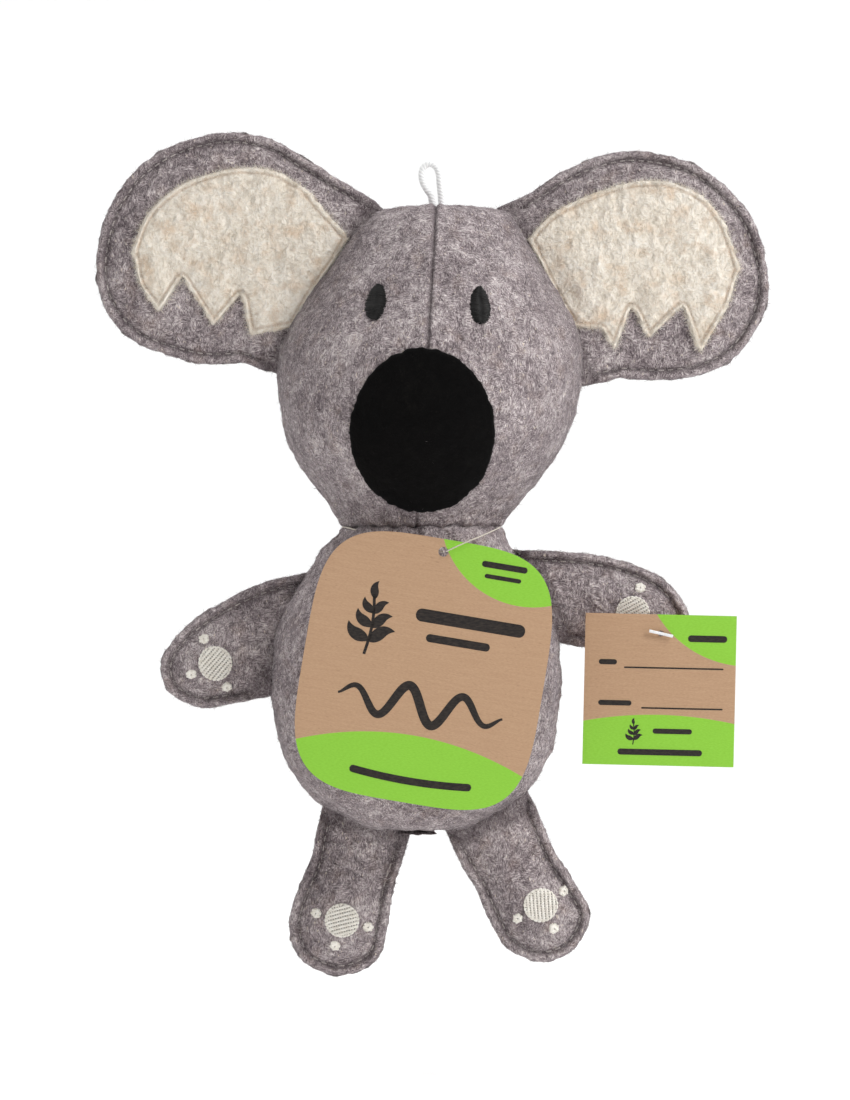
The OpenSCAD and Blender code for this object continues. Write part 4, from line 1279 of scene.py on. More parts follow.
def fill_rows(centre, radius, slant, pitch, stitch, rng):
    """Rows across a disc, cut into stitches: starts and ends as x and z. Row k lies at height
    pitch k, reaches (r^2 - y^2)^0.5 to both sides, and is cut every stitch, a third further
    on each time."""
    count = int(2 * radius / pitch)
    y = (np.arange(count) + 0.5) * 2 * radius / count - radius
    reach = np.sqrt(radius ** 2 - y ** 2) + rng.uniform(-0.12, 0.12, count) * MM
    cuts = np.arange(-8, 9) * stitch + (np.arange(count)[:, None] % 3) * stitch / 3
    left = np.maximum(cuts[:, :-1], -reach[:, None])
    right = np.minimum(cuts[:, 1:] - FILL_GAP, reach[:, None])
    row, cell = np.nonzero(right - left > 0.25 * MM)
    turn = np.radians(slant)
    spin = np.array([[np.cos(turn), np.sin(turn)], [-np.sin(turn), np.cos(turn)]])
    starts = np.stack([left[row, cell], y[row]], axis=1) @ spin
    ends = np.stack([right[row, cell], y[row]], axis=1) @ spin
    return centre + starts, centre + ends


def make_pads(part, slant, seed):
    """The fill of the disc, a ring of small stitches round its edge, and the dots."""
    rng = np.random.default_rng(seed)
    centre, dots = pad_places(part)
    radius = PAD_RADIUS
    starts, ends = fill_rows(centre, radius - 0.25 * MM, slant, FILL_PITCH, FILL_STITCH, rng)
    turn = np.linspace(0, 2 * np.pi, 26)
    ring = centre + (radius - 0.1 * MM) * np.stack([np.cos(turn), np.sin(turn)], axis=1)
    starts, ends = [starts, ring[:-1]], [ends, ring[:-1] * 0.12 + ring[1:] * 0.88]
    for dot in dots:
        a, b = fill_rows(dot, 1.6 * MM, slant + 90, 0.42 * MM, 9 * MM, rng)
        starts.append(a)
        ends.append(b)
    starts, ends = np.concatenate(starts), np.concatenate(ends)
    paths, out = stitches_on(cloths[part + "_front"], starts, ends, 0.55 * MM, 0.1 * MM)
    made = threads(part + "_pads", paths, out, 0.66 * MM)
    return made, len(starts)


PADS = [("arm_left", "torso", -12), ("arm_right", "torso", 8), ("leg_left", "torso", 55),
        ("leg_right", "torso", -25)]
pad_pieces = []
for number, (part, parent, slant) in enumerate(PADS):
    pads, count = make_pads(part, slant, 400 + number)
    bend_over(pads, part)
    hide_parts(part + "_paw_pads")
    pad_pieces.append(pads)
    print(pads.name, "stitches:", count, "dots:", len(pad_places(part)[1]))

# %% [markdown]
# ## Kraft cards
# The toy is sold with two cards of brown kraft board. A box would do for their shape, but board
# this thin is never quite flat, and the print needs a place to be measured from. So each card
# is a grid that runs from the rim of its punched hole to its outline, on the front and back,
# bent by a fraction of a millimetre. Its UV map is measured in units of 100 mm from the card's
# middle. The real cards' words and marks are left out. In their place are a leaf sprig, plain
# bars and a thread-like wave that name nothing.

# %% Card axes and outline
CARD_SCALE = 0.1


class Card:
    """A card's middle, right, up and front directions and its half size, from the working
    model: front is the direction in which its points spread least, and right and up are turned
    so that its box is smallest."""

    def __init__(self, node, joint, squareness, hole, bow):
        found = points_of(node)
        self.squareness, self.hole, self.bow = squareness, hole, bow
        rough = found.mean(0)
        self.front = np.linalg.svd(found - rough, full_matrices=False)[2][2]
        self.front = -self.front * np.sign(self.front[1])
        rise = unit(np.array([0, 0, 1.0]) - self.front * self.front[2])
        side = np.cross(rise, self.front)
        turns = np.radians(np.linspace(-20, 20, 801))[:, None]
        rights = np.cos(turns) * side + np.sin(turns) * rise
        ups = np.cos(turns) * rise - np.sin(turns) * side
        spans = np.ptp((found - rough) @ rights.T, axis=0) * np.ptp((found - rough) @ ups.T,
                                                                      axis=0)
        self.right, self.up = rights[np.argmin(spans)], ups[np.argmin(spans)]
        axes = np.stack([self.right, self.up, self.front])
        local = (found - rough) @ axes.T
        self.middle = rough + (local.min(0) + local.max(0)) / 2 @ axes
        self.half = np.ptp(local, axis=0) / 2
        pivot = next(j for j in frame["joints"] if j["name"] == joint)["pos_m"]
        self.punched = ((np.array(pivot) - self.middle) @ axes.T)[:2]

    def at(self, flat, lift):
        """The place of (right, up) on the card, lift above its middle plane. The card bows by
        bow times (1 - up^2 / half^2), less a little towards one side."""
        u, v = flat[..., 0:1], flat[..., 1:2]
        share = 1 - (v / self.half[1]) ** 2 - 0.6 * (u / self.half[0]) * (v / self.half[1])
        return (self.middle + u * self.right + v * self.up
                + (self.bow * share + np.asarray(lift)[..., None]) * self.front)

    def outline(self, count):
        """An outline with bowed sides, |u / half|^k + |v / half|^k = 1, as u = half |cos a|^(2/k)
        and v = half |sin a|^(2/k) with their signs; or a plain rectangle where k is 0."""
        if not self.squareness:
            ends = np.array([[1, -1], [1, 1], [-1, 1], [-1, -1], [1, -1]]) * self.half[:2]
            return evenly(ends, count + 1)[:-1]
        turn = np.linspace(0, 2 * np.pi, 4001)
        round_part = np.stack([np.cos(turn), np.sin(turn)], axis=1)
        line = np.sign(round_part) * np.abs(round_part) ** (2 / self.squareness)
        return evenly(line * self.half[:2], count + 1)[:-1]


CARD_STEPS = 26


def make_card(name, card):
    """Rings from the hole to the outline on the front, round the edge, and back to the hole:
    point = hole rim + share (outline - hole rim), with the edge rounded by a tenth of a
    millimetre."""
    edge = card.outline(260)
    spokes = unit(edge - card.punched)
    rim = card.punched + card.hole * spokes
    share = np.linspace(0, 1, CARD_STEPS) ** 1.3
    share = np.concatenate([share, share[::-1]])[:, None, None]
    flat = rim + share * (edge - rim)
    thick = card.half[2]
    nearness = np.minimum(share, 1 - share)[..., 0] * 2
    lift = thick * np.where(np.arange(2 * CARD_STEPS) < CARD_STEPS, 1, -1)[:, None]
    lift = lift * (1 - 0.35 * (nearness < 1e-6))
    rings = card.at(flat, lift * np.ones(flat.shape[:2]))
    made = mesh_object(name, rings.reshape(-1, 3),
                       ring_quads(2 * CARD_STEPS, len(edge), joined=True), smooth=False)
    lay_uv(made, flat[..., 0] / CARD_SCALE, flat[..., 1] / CARD_SCALE)
    away = distance_to(flat, edge)
    paint(made, "edge", np.where(lift < 0, -1, 1) * np.minimum(away, 3 * MM) / (3 * MM))
    return made


neck_card = Card("hang_tag", "hang_tag_lift", 4, 1.6 * MM, 0.25 * MM)
paw_card = Card("gift_tag", "gift_tag_lift", 0, 1.0 * MM, 0.15 * MM)
neck_card_board = make_card("hang_tag_board", neck_card)
paw_card_board = make_card("gift_tag_board", paw_card)
for board, node in ((neck_card_board, "hang_tag"), (paw_card_board, "gift_tag")):
    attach(board, node)
    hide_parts(node)
print("cards:", np.round(2 * neck_card.half / MM, 1), np.round(2 * paw_card.half / MM, 1))

# %% Print that names nothing
INK_THICK = 0.04 * MM


def print_strips(name, card, strips):
    """Strips of ink on a card. Each strip is a path and a half width at every point, as points
    on the card; its edges are path + and - width times the path's normal."""
    count = 160
    paths = np.stack([evenly(path, count) for path, width in strips])
    s = np.linspace(0, 1, count)
    widths = np.stack([np.interp(s, np.linspace(0, 1, len(width)), width)
                       for path, width in strips])
    along = unit(np.gradient(paths, axis=1))
    side = np.stack([-along[..., 1], along[..., 0]], axis=-1) * widths[..., None]
    flat = np.stack([paths - side, paths + side], axis=2)
    level = card.half[2] + 0.01 * MM + np.zeros(flat.shape[:3])
    points = np.concatenate([card.at(flat, level + INK_THICK).reshape(len(strips), -1, 3),
                             card.at(flat, level - 0.02 * MM).reshape(len(strips), -1, 3)], axis=1)
    base = points.shape[1] * np.arange(len(strips))[:, None, None]
    faces = (base + slab_faces(count, 2)[None]).reshape(-1, 4)
    return mesh_object(name, points.reshape(-1, 3), faces, smooth=False)


def bar(u, v, length, height, bend=0.0):
    """A bar with round ends, centred on (u, v), in millimetres, whose middle dips by bend."""
    s = np.linspace(-1, 1, 401)
    path = MM * np.stack([u + s * length / 2, v - bend * (1 - s ** 2)], axis=1)
    end = np.clip((1 - np.abs(s)) * length / height, 0, 1)
    return path, MM * height / 2 * np.sqrt(1 - (1 - end) ** 2) + 0.01 * MM


def leaf(u, v, angle, length, plump=0.22):
    """A leaf from (u, v): half width = plump times length times sin(pi s^0.8)."""
    s = np.linspace(0, 1, 41)
    turn = np.radians(angle) + 0.25 * np.sin(np.pi * s)
    path = MM * np.stack([u + s * length * np.cos(turn), v + s * length * np.sin(turn)], axis=1)
    return path, MM * plump * length * np.sin(np.pi * s ** 0.8) + 0.01 * MM


def sprig(u, v, size):
    """A curved stem with three pairs of leaves and one at its tip, size millimetres tall."""
    s = np.linspace(0, 1, 41)
    stem = MM * np.stack([u + 0.05 * size * np.sin(3 * s), v + size * (0.9 * s - 0.5)], axis=1)
    parts = [(stem, np.full(41, 0.022 * size * MM))]
    for k, rise in enumerate((0.22, 0.45, 0.68)):
        x, z = u + 0.05 * size * np.sin(3 * rise), v + size * (0.9 * rise - 0.5)
        reach = size * (0.42 - 0.07 * k)
        parts += [leaf(x, z, 28 + 8 * k, reach), leaf(x, z, 142 - 8 * k, reach)]
    return parts + [leaf(u + 0.05 * size * np.sin(2.7), v + 0.32 * size, 84, 0.28 * size)]


def wave(u, v, length, height, thick, turns):
    """A thread-like wave: up = height / 2 sin(2 pi turns s), thinner towards its ends."""
    s = np.linspace(0, 1, 200)
    path = MM * np.stack([u + (s - 0.5) * length,
                          v + height / 2 * np.sin(2 * np.pi * turns * s) * np.sin(np.pi * s) ** 0.5],
                         axis=1)
    return path, MM * thick / 2 * np.sin(np.pi * np.clip(s, 0.01, 0.99)) ** 0.4


neck_card_print = print_strips("hang_tag_print", neck_card, sprig(-20, 13, 22) + [
    bar(12.5, 17.6, 36, 4.2), bar(9.5, 10.6, 21, 2.6), wave(0.8, -11.5, 54, 12, 3.0, 3),
    bar(1.5, -35.0, 40, 2.4, 1.2), bar(20.5, 37.4, 15, 2.0), bar(20.5, 33.6, 12, 1.4)])
paw_card_print = print_strips("gift_tag_print", paw_card, sprig(-8.5, -14.2, 8) + [
    bar(4.5, 7.3, 33, 0.5), bar(7.5, -6.0, 27, 0.5), bar(-17.3, 9.0, 6, 1.7),
    bar(-14.7, -4.5, 11, 1.7), bar(4.5, -13.6, 13, 1.7), bar(0.5, -20.6, 28, 2.0),
    bar(15.5, 17.2, 13, 2.2)])
for ink, board in ((neck_card_print, "hang_tag"), (paw_card_print, "gift_tag")):
    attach(ink, board)
print("print:", len(neck_card_print.data.polygons), len(paw_card_print.data.polygons))

# %% [markdown]
# ## Finishes
# Each finish below is built from shader nodes on Object coordinates, so nothing needs unwrapping
# and the grain has its true size wherever it lies. Effects that several finishes share are node
# groups: felted fibres, which wool, fleece and velour all have, and the twist of thread.


# %% Node helpers
def node(tree, kind, values=None, **settings):
    """Adds a node; values go to its inputs, by name or number, and link where they are outputs
    of other nodes."""
    made = tree.nodes.new(kind)
    for key, value in settings.items():
        setattr(made, key, value)
    for key, value in (values or {}).items():
        if isinstance(value, bpy.types.NodeSocket):
            tree.links.new(value, made.inputs[key])
        else:
            made.inputs[key].default_value = value
    return made


def sums(tree, operation, a, b, clamp=False):
    """One Math node's output."""
    return node(tree, "ShaderNodeMath", {0: a, 1: b}, operation=operation,
                use_clamp=clamp).outputs[0]


def noise(tree, place, size, detail=2.0, stretch=None, turn=(0, 0, 0)):
    """Noise with lumps of that size in metres, stretched along the turned axes."""
    if stretch:
        place = node(tree, "ShaderNodeMapping", {"Vector": place, "Rotation": turn,
                                                 "Scale": stretch}).outputs[0]
    return node(tree, "ShaderNodeTexNoise", {"Vector": place, "Scale": 1 / size,
                                             "Detail": detail}).outputs["Fac"]


def ramp(tree, value, *stops):
    """Colours at places from 0 to 1, smooth between them."""
    made = node(tree, "ShaderNodeValToRGB", {"Fac": value})
    marks = made.color_ramp.elements
    while len(marks) < len(stops):
        marks.new(0.5)
    for mark, (place, colour) in zip(marks, stops):
        mark.position = place
        mark.color = (*paint_colour(*colour), 1)
    return made.outputs["Color"]


def paint_colour(red, green, blue):
    """The 0 to 255 values of a paint sample as the light that it gives back: ((c / 255 + 0.055)
    / 1.055)^2.4."""
    return tuple(((np.array([red, green, blue]) / 255 + 0.055) / 1.055) ** 2.4)


def mix(tree, share, a, b, blend="MIX"):
    """Two colours mixed; share 0 gives a."""
    made = node(tree, "ShaderNodeMix", {"Factor": share}, data_type="RGBA", blend_type=blend)
    for key, value in ((6, a), (7, b)):
        if isinstance(value, bpy.types.NodeSocket):
            tree.links.new(value, made.inputs[key])
        else:
            made.inputs[key].default_value = (*paint_colour(*value), 1)
    return made.outputs[2]


def attribute(tree, name):
    """A number painted on the piece."""
    return node(tree, "ShaderNodeAttribute", attribute_name=name).outputs["Fac"]


def new_finish(name, roughness, sheen=0.0, specular=0.3):
    """An empty finish: its tree, its Principled shader and its Object coordinates."""
    finish = bpy.data.materials.new(name)
    finish.use_nodes = True
    tree = finish.node_tree
    shader = tree.nodes["Principled BSDF"]
    shader.inputs["Roughness"].default_value = roughness
    shader.inputs["Sheen Weight"].default_value = sheen
    shader.inputs["Sheen Roughness"].default_value = 0.6
    shader.inputs["Specular IOR Level"].default_value = specular
    return finish, tree, shader, node(tree, "ShaderNodeTexCoord").outputs["Object"]


def bump(tree, shader, height, distance, strength=1.0):
    """Feeds a height, in units of distance in metres, to the shader's normal."""
    made = node(tree, "ShaderNodeBump", {"Height": height, "Distance": distance,
                                         "Strength": strength})
    tree.links.new(made.outputs[0], shader.inputs["Normal"])


def new_group(name, inputs, outputs):
    """A node group with named sockets; returns it with its input and output nodes."""
    group = bpy.data.node_groups.new(name, "ShaderNodeTree")
    for label, kind in inputs:
        group.interface.new_socket(label, in_out="INPUT", socket_type=kind)
    for label, kind in outputs:
        group.interface.new_socket(label, in_out="OUTPUT", socket_type=kind)
    return group, group.nodes.new("NodeGroupInput"), group.nodes.new("NodeGroupOutput")


print("node helpers ready")


# %% Felted fibres, shared by wool, fleece and velour
def make_fibres():
    """Shade of felted fibres: three noises stretched along different directions, of which a
    patchy mask picks one at each place, so that the fibres lie this way here and that way
    there; plus a fine grain, pills of 2 mm, and clouds where the felting is denser."""
    group, given, result = new_group(
        "felted_fibres", [("Place", "NodeSocketVector"), ("Fibre", "NodeSocketFloat")],
        [("Shade", "NodeSocketFloat"), ("Clouds", "NodeSocketFloat"),
         ("Height", "NodeSocketFloat")])
    place = given.outputs["Place"]
    swirl = node(group, "ShaderNodeTexNoise", {"Vector": place, "Scale": 1 / (5 * MM),
                                               "Detail": 2.0}).outputs["Color"]
    swirl = node(group, "ShaderNodeVectorMath", {0: swirl, 1: (0.5, 0.5, 0.5)},
                 operation="SUBTRACT").outputs[0]
    swirl = node(group, "ShaderNodeVectorMath", {0: swirl, "Scale": 3.2 * MM},
                 operation="SCALE").outputs[0]
    curled = node(group, "ShaderNodeVectorMath", {0: place, 1: swirl}, operation="ADD").outputs[0]
    sized = node(group, "ShaderNodeVectorMath", {0: curled, "Scale": given.outputs["Fibre"]},
                 operation="SCALE").outputs[0]
    lying = [noise(group, sized, 0.40 * MM, 1.5, (1, 1, 0.24), (0.0, 0.5, 0.2)),
             noise(group, sized, 0.40 * MM, 1.5, (0.24, 1, 1), (0.3, 0.0, 0.6)),
             noise(group, sized, 0.36 * MM, 1.5, (1, 0.5, 0.28), (0.2, -0.8, 0.0))]
    patch = noise(group, place, 3.5 * MM, 1.0)
    first = sums(group, "GREATER_THAN", patch, 0.53)
    second = sums(group, "LESS_THAN", patch, 0.44)
    blend = node(group, "ShaderNodeMix", {"Factor": first, 2: lying[0], 3: lying[1]})
    blend = node(group, "ShaderNodeMix", {"Factor": second, 2: blend.outputs[0], 3: lying[2]})
    streaks = blend.outputs[0]
    clouds = sums(group, "ADD", sums(group, "MULTIPLY", noise(group, place, 15 * MM, 2.0), 0.5),
                  sums(group, "MULTIPLY", noise(group, place, 3.6 * MM, 2.0), 0.5))
    grain = noise(group, place, 0.26 * MM, 1.0)
    pills = noise(group, curled, 2.1 * MM, 3.0)
    shade = sums(group, "ADD", sums(group, "MULTIPLY", streaks, 0.55),
                 sums(group, "MULTIPLY", grain, 0.27))
    shade = sums(group, "ADD", shade, sums(group, "MULTIPLY", pills, 0.18))
    group.links.new(shade, result.inputs["Shade"])
    group.links.new(clouds, result.inputs["Clouds"])
    relief = sums(group, "ADD", sums(group, "MULTIPLY", streaks, 0.35),
                  sums(group, "MULTIPLY", pills, 1.5))
    group.links.new(sums(group, "ADD", relief, clouds), result.inputs["Height"])
    return group


fibres = make_fibres()


def felted(tree, place, fibre=1.0):
    """The group's outputs in one finish."""
    made = node(tree, "ShaderNodeGroup", node_tree=fibres)
    tree.links.new(place, made.inputs["Place"])
    made.inputs["Fibre"].default_value = fibre
    return made.outputs["Shade"], made.outputs["Clouds"], made.outputs["Height"]


def grade(tree, shade, clouds, cloud_share, middle=0.5, gain=2.2):
    """Shade and clouds as one value round a half: (shade - middle) gain + (clouds - 0.5)
    cloud_share + 0.5."""
    a = sums(tree, "MULTIPLY", sums(tree, "SUBTRACT", shade, middle), gain)
    b = sums(tree, "MULTIPLY", sums(tree, "SUBTRACT", clouds, 0.5), cloud_share)
    return sums(tree, "ADD", sums(tree, "ADD", a, b), 0.5, clamp=True)


print("fibre group nodes:", len(fibres.nodes))


# %% Grey felted wool and its nap
def make_wool():
    """Salt and pepper wool: dark, middle and light fibres in lilac grey, with brown and cream
    flecks, and painted shade in its seams and stitch grooves, in the pits between its pills and
    where it turns away from the view."""
    finish, tree, shader, place = new_finish("felted_wool", 0.95, 0.06, 0.12)
    shade, clouds, height = felted(tree, place)
    value = grade(tree, shade, clouds, 1.3, 0.5, 3.4)
    colour = ramp(tree, value, (0.0, (88, 78, 81)), (0.34, (138, 127, 129)),
                  (0.62, (178, 166, 167)), (1.0, (230, 221, 219)))
    warm = ramp(tree, noise(tree, place, 6 * MM, 3.0), (0.55, (0, 0, 0)), (0.8, (150, 150, 150)))
    colour = mix(tree, warm, colour, (152, 126, 106))
    fleck = ramp(tree, noise(tree, place, 0.8 * MM, 1.0, (1, 1, 0.5), (0.4, 0.9, 0)),
                 (0.70, (0, 0, 0)), (0.745, (230, 230, 230)))
    colour = mix(tree, fleck, colour, (222, 208, 192))
    # Painted shade in seams, stitch grooves and where the pieces run into the head or body.
    seam_shade = sums(tree, "MULTIPLY", attribute(tree, "seam_shade"), 0.62, clamp=True)
    colour = mix(tree, seam_shade, colour, (62, 52, 54))
    pills = noise(tree, place, 2.7 * MM, 2.0)
    # Painted shade in the pits between the pills.
    pits = ramp(tree, pills, (0.36, (150, 150, 150)), (0.56, (0, 0, 0)))
    colour = mix(tree, pits, colour, (104, 93, 97))
    # Painted shade where the wool turns away from the view.
    edge = node(tree, "ShaderNodeLayerWeight", {"Blend": 0.35}).outputs["Facing"]
    colour = mix(tree, sums(tree, "MULTIPLY", edge, 0.55), colour, (84, 75, 80))
    tree.links.new(colour, shader.inputs["Base Color"])
    height = sums(tree, "ADD", sums(tree, "MULTIPLY", pills, 1.1), sums(tree, "MULTIPLY", height, 0.6))
    bump(tree, shader, height, 1.3 * MM)
    return finish


def make_wool_nap():
    """Single fibres: each is one shade, from dark to nearly white."""
    finish, tree, shader, place = new_finish("wool_fibre", 0.8, 0.08, 0.2)
    tone = sums(tree, "ADD", sums(tree, "MULTIPLY", attribute(tree, "tone"), 0.85),
                sums(tree, "MULTIPLY", noise(tree, place, 9 * MM), 0.15))
    colour = ramp(tree, tone, (0.0, (88, 79, 82)), (0.4, (146, 136, 138)),
                  (0.75, (188, 179, 179)), (1.0, (240, 233, 227)))
    tree.links.new(colour, shader.inputs["Base Color"])
    return finish


felted_wool, wool_fibre = make_wool(), make_wool_nap()


# %% Cream fleece, black velour
def make_fleece():
    """Cream fleece with peach and brown clouds, and painted tan shade in its edge-stitch groove."""
    finish, tree, shader, place = new_finish("cream_fleece", 0.95, 0.25, 0.15)
    shade, clouds, height = felted(tree, place, 0.8)
    value = grade(tree, shade, clouds, 0.7, 0.5, 1.5)
    colour = ramp(tree, value, (0.0, (206, 190, 166)), (0.5, (240, 231, 217)),
                  (1.0, (255, 252, 246)))
    blotch = ramp(tree, noise(tree, place, 6 * MM, 4.0), (0.5, (0, 0, 0)),
                  (0.72, (205, 205, 205)))
    colour = mix(tree, blotch, colour, (212, 180, 146))
    # Painted shade in the groove of the edge stitch.
    line = sums(tree, "MULTIPLY", attribute(tree, "seam_shade"), 0.4, clamp=True)
    colour = mix(tree, line, colour, (188, 152, 118))
    tree.links.new(colour, shader.inputs["Base Color"])
    bump(tree, shader, height, 1.0 * MM)
    return finish


def make_fleece_nap():
    """Single cream fibres."""
    finish, tree, shader, _ = new_finish("fleece_fibre", 0.8, 0.2, 0.2)
    colour = ramp(tree, attribute(tree, "tone"), (0.0, (214, 198, 176)), (1.0, (255, 252, 246)))
    tree.links.new(colour, shader.inputs["Base Color"])
    return finish


def make_velour():
    """Black pile: nearly black from the front, a little lighter where it is seen edge on."""
    finish, tree, shader, place = new_finish("black_velour", 0.95, 0.02, 0.06)
    shade, clouds, height = felted(tree, place, 1.6)
    value = grade(tree, shade, clouds, 0.8, 0.5, 1.6)
    colour = ramp(tree, value, (0.0, (4, 3, 3)), (0.6, (9, 8, 8)), (1.0, (26, 24, 21)))
    tree.links.new(colour, shader.inputs["Base Color"])
    bump(tree, shader, height, 0.25 * MM)
    return finish


cream_fleece, fleece_fibre, black_velour = make_fleece(), make_fleece_nap(), make_velour()


# %% Thread and cord
def make_twist():
    """Painted light and shade of twisted thread: a wave along the thread's own length and round
    it, sin(2 pi (turns u + v)), from the piece's UV map."""
    group, given, result = new_group(
        "thread_twist", [("Flat", "NodeSocketVector"), ("Turns", "NodeSocketFloat")],
        [("Ridge", "NodeSocketFloat")])
    parts = node(group, "ShaderNodeSeparateXYZ", {0: given.outputs["Flat"]})
    along = sums(group, "MULTIPLY", parts.outputs[0], given.outputs["Turns"])
    turn = sums(group, "MULTIPLY", sums(group, "ADD", along, parts.outputs[1]), 2 * np.pi)
    ridge = sums(group, "ADD", sums(group, "MULTIPLY", sums(group, "SINE", turn, 0.0), 0.5), 0.5)
    group.links.new(ridge, result.inputs["Ridge"])
    return group


twist = make_twist()


def make_thread(name, dark, light, roughness, specular, turns):
    """Shiny twisted thread: painted highlight and shade along its twist, each stitch its own tone."""
    finish, tree, shader, _ = new_finish(name, roughness, 0.05, specular)
    ridge = node(tree, "ShaderNodeGroup", node_tree=twist)
    tree.links.new(node(tree, "ShaderNodeTexCoord").outputs["UV"], ridge.inputs["Flat"])
    ridge.inputs["Turns"].default_value = turns
    # Painted highlight and shade from the twist, mixed with each stitch's own tone.
    value = sums(tree, "ADD", sums(tree, "MULTIPLY", ridge.outputs[0], 0.45),
                 sums(tree, "MULTIPLY", attribute(tree, "tone"), 0.55))
    tree.links.new(ramp(tree, value, (0.0, dark), (1.0, light)), shader.inputs["Base Color"])
    bump(tree, shader, ridge.outputs[0], 0.08 * MM)
    return finish


def make_cord(name, dark, middle, light):
    """Twisted cord, with painted shade in the hollows between its strands."""
    finish, tree, shader, place = new_finish(name, 0.5, 0.1, 0.4)
    hollow = attribute(tree, "hollow")
    fuzz = noise(tree, place, 0.3 * MM, 2.0, (1, 1, 0.3))
    # Painted shade in the hollows between the strands.
    value = sums(tree, "SUBTRACT", sums(tree, "ADD", 0.8, sums(tree, "MULTIPLY", fuzz, 0.25)),
                 sums(tree, "MULTIPLY", hollow, 0.7), clamp=True)
    colour = ramp(tree, value, (0.0, dark), (0.6, middle), (1.0, light))
    tree.links.new(colour, shader.inputs["Base Color"])
    bump(tree, shader, fuzz, 0.1 * MM)
    return finish


eye_satin = make_thread("eye_thread", (4, 3, 3), (20, 18, 17), 0.6, 0.2, 3)
grey_thread = make_thread("grey_thread", (112, 102, 104), (214, 205, 199), 0.45, 0.4, 4)
cream_thread = make_thread("cream_thread", (232, 225, 213), (255, 252, 245), 0.42, 0.4, 4)
white_cord = make_cord("white_cord", (196, 196, 200), (244, 244, 244), (255, 255, 254))
elastic_thread = make_cord("elastic_thread", (120, 110, 98), (176, 166, 150), (206, 198, 184))


# %% Kraft board with green print, and ink
def make_kraft(name, circle, radius, band, bend, half):
    """Kraft board: fibres and faint lines in brown, and green ink in two places on the front:
    within a circle round (circle) and below the curve up = band + bend (right / half)^2, all
    in units of the UV map. The back and the edge stay plain."""
    finish, tree, shader, _ = new_finish(name, 0.75, 0.0, 0.25)
    flat = node(tree, "ShaderNodeTexCoord").outputs["UV"]
    speck = noise(tree, flat, 0.010, 3.0, (1, 3.0, 1), (0, 0, 0.2))
    lines = noise(tree, flat, 0.012, 1.0, (0.12, 1.6, 1))
    value = sums(tree, "ADD", sums(tree, "MULTIPLY", speck, 0.7),
                 sums(tree, "MULTIPLY", lines, 0.3))
    board = ramp(tree, value, (0.2, (170, 136, 107)), (0.5, (183, 149, 119)),
                 (0.8, (194, 161, 131)))
    dark = ramp(tree, noise(tree, flat, 0.006, 2.0, (0.3, 1, 1), (0, 0, 0.7)),
                (0.66, (0, 0, 0)), (0.74, (150, 150, 150)))
    board = mix(tree, dark, board, (132, 98, 72))
    parts = node(tree, "ShaderNodeSeparateXYZ", {0: flat})
    u, v = parts.outputs[0], parts.outputs[1]
    squares = sums(tree, "ADD", sums(tree, "POWER", sums(tree, "ABSOLUTE", sums(
        tree, "SUBTRACT", u, circle[0] / CARD_SCALE), 0.0), 2.0), sums(
        tree, "POWER", sums(tree, "ABSOLUTE", sums(tree, "SUBTRACT", v, circle[1] / CARD_SCALE),
                            0.0), 2.0))
    corner = sums(tree, "LESS_THAN", squares, (radius / CARD_SCALE) ** 2)
    curve = sums(tree, "MULTIPLY", sums(tree, "MULTIPLY", u, u),
                 bend * CARD_SCALE / half ** 2)
    lower = sums(tree, "LESS_THAN", v, sums(tree, "ADD", curve, band / CARD_SCALE))
    green = ramp(tree, speck, (0.2, (132, 192, 56)), (0.8, (146, 206, 70)))
    front = sums(tree, "GREATER_THAN", attribute(tree, "edge"), 0.0)
    inked = sums(tree, "MULTIPLY", sums(tree, "MAXIMUM", corner, lower), front)
    tree.links.new(mix(tree, inked, board, green), shader.inputs["Base Color"])
    tree.links.new(sums(tree, "SUBTRACT", 0.82, sums(tree, "MULTIPLY", inked, 0.25)),
                   shader.inputs["Roughness"])
    bump(tree, shader, value, 0.05 * MM)
    return finish


def make_ink():
    """Black print that lets a little of the board's fibre through."""
    finish, tree, shader, place = new_finish("black_ink", 0.55, 0.0, 0.3)
    speck = noise(tree, place, 0.5 * MM, 2.0, (0.4, 1, 1))
    colour = ramp(tree, speck, (0.35, (30, 26, 25)), (0.8, (58, 50, 45)))
    tree.links.new(colour, shader.inputs["Base Color"])
    bump(tree, shader, speck, 0.02 * MM)
    return finish


neck_card_kraft = make_kraft("neck_card_kraft", (26.9 * MM, 55.8 * MM), 30.2 * MM,
                             -21.4 * MM, -7.3 * MM, 37 * MM)
paw_card_kraft = make_kraft("paw_card_kraft", (28.33 * MM, 43.41 * MM), 34.97 * MM,
                            -8.2 * MM, -2.5 * MM, 25 * MM)
black_ink = make_ink()


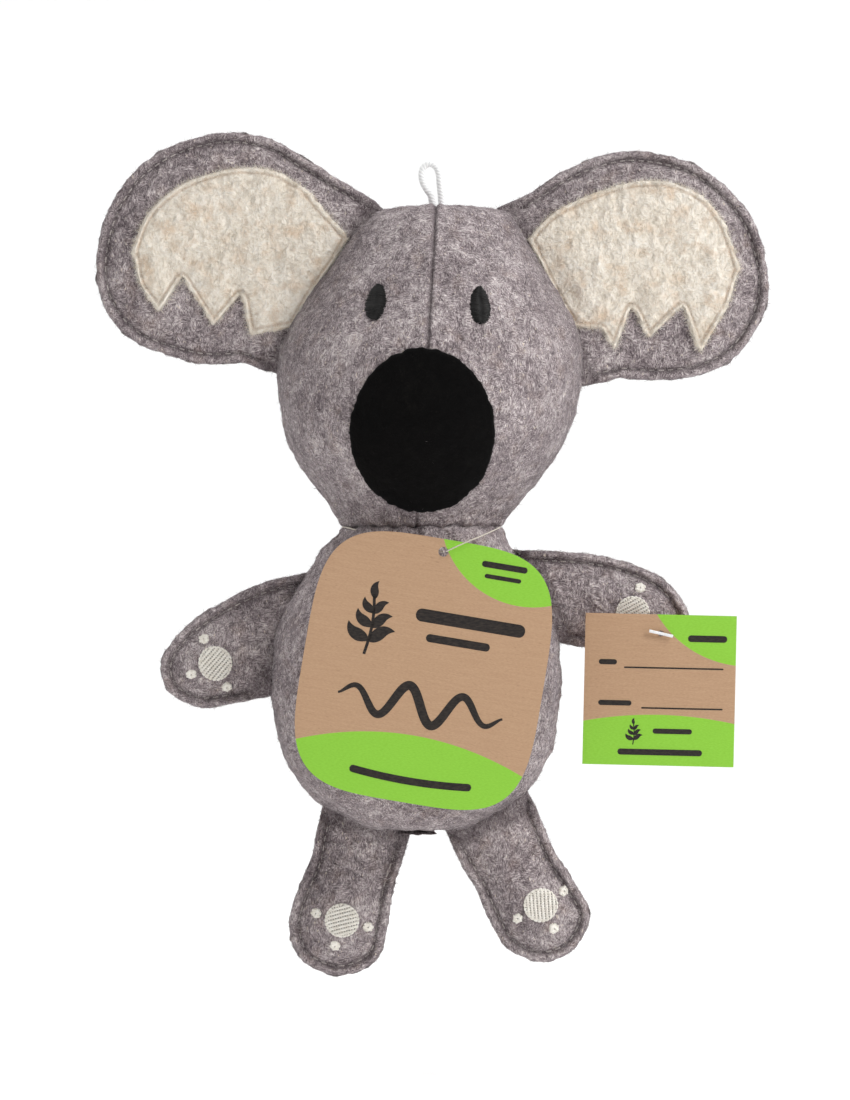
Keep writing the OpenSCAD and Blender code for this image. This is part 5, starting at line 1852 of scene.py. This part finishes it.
# %% Fill and plastics
def make_fill():
    """Polyester fill: white curls."""
    finish, tree, shader, place = new_finish("polyester_fill", 0.9, 0.3, 0.2)
    shade, clouds, height = felted(tree, place, 0.5)
    value = grade(tree, shade, clouds, 1.2, 0.5, 1.6)
    colour = ramp(tree, value, (0.0, (196, 198, 204)), (0.6, (236, 237, 240)),
                  (1.0, (252, 252, 252)))
    tree.links.new(colour, shader.inputs["Base Color"])
    bump(tree, shader, height, 0.8 * MM)
    return finish


def make_plastic(name, colour, shadow, roughness):
    """Moulded plastic: faint mould marks in its gloss, and a little darker in patches."""
    finish, tree, shader, place = new_finish(name, roughness, 0.0, 0.5)
    marks = noise(tree, place, 1.2 * MM, 3.0)
    tree.links.new(ramp(tree, marks, (0.3, shadow), (0.7, colour)), shader.inputs["Base Color"])
    tree.links.new(sums(tree, "ADD", roughness, sums(tree, "MULTIPLY", marks, 0.12)),
                   shader.inputs["Roughness"])
    bump(tree, shader, marks, 0.02 * MM)
    return finish


polyester_fill = make_fill()
squeaker_plastic = make_plastic("squeaker_plastic", (238, 238, 232), (224, 224, 216), 0.35)
pin_plastic = make_plastic("pin_plastic", (246, 246, 246), (228, 230, 232), 0.22)

# %% Give every piece its finish
FINISHES = [(felted_wool, [head_skin, body_skin] + [p for k, p in plies.items()
                                                   if not k.endswith("nap")]),
            (wool_fibre, [head_nap, body_nap] + [p for k, p in plies.items()
                                                if k.endswith("nap")]),
            (cream_fleece, [fleece for fleece, hair, edge in inserts.values()]),
            (fleece_fibre, [p for fleece, *hairs in inserts.values() for p in hairs]),
            (black_velour, [nose_velour, nose_nap]),
            (eye_satin, eyes),
            (grey_thread, list(stitch_rows.values())),
            (cream_thread, pad_pieces),
            (white_cord, [hang_cord]),
            (elastic_thread, [elastic_cord]),
            (neck_card_kraft, [neck_card_board]),
            (paw_card_kraft, [paw_card_board]),
            (black_ink, [neck_card_print, paw_card_print])]
for finish, pieces in FINISHES:
    for piece in pieces:
        piece.data.materials.append(finish)


def refinish(ends, finish):
    """Puts a finish on every part of the working model whose name has this in it."""
    found = [part for name, part in frame["nodes"].items() if ends in name]
    for part in found:
        part.data.materials.clear()
        part.data.materials.append(finish)
    return len(found)


print("working-model parts refinished:", refinish("stuffing", polyester_fill),
      refinish("batting", polyester_fill), refinish("filling", polyester_fill),
      refinish("squeaker", squeaker_plastic), refinish("pin", pin_plastic))
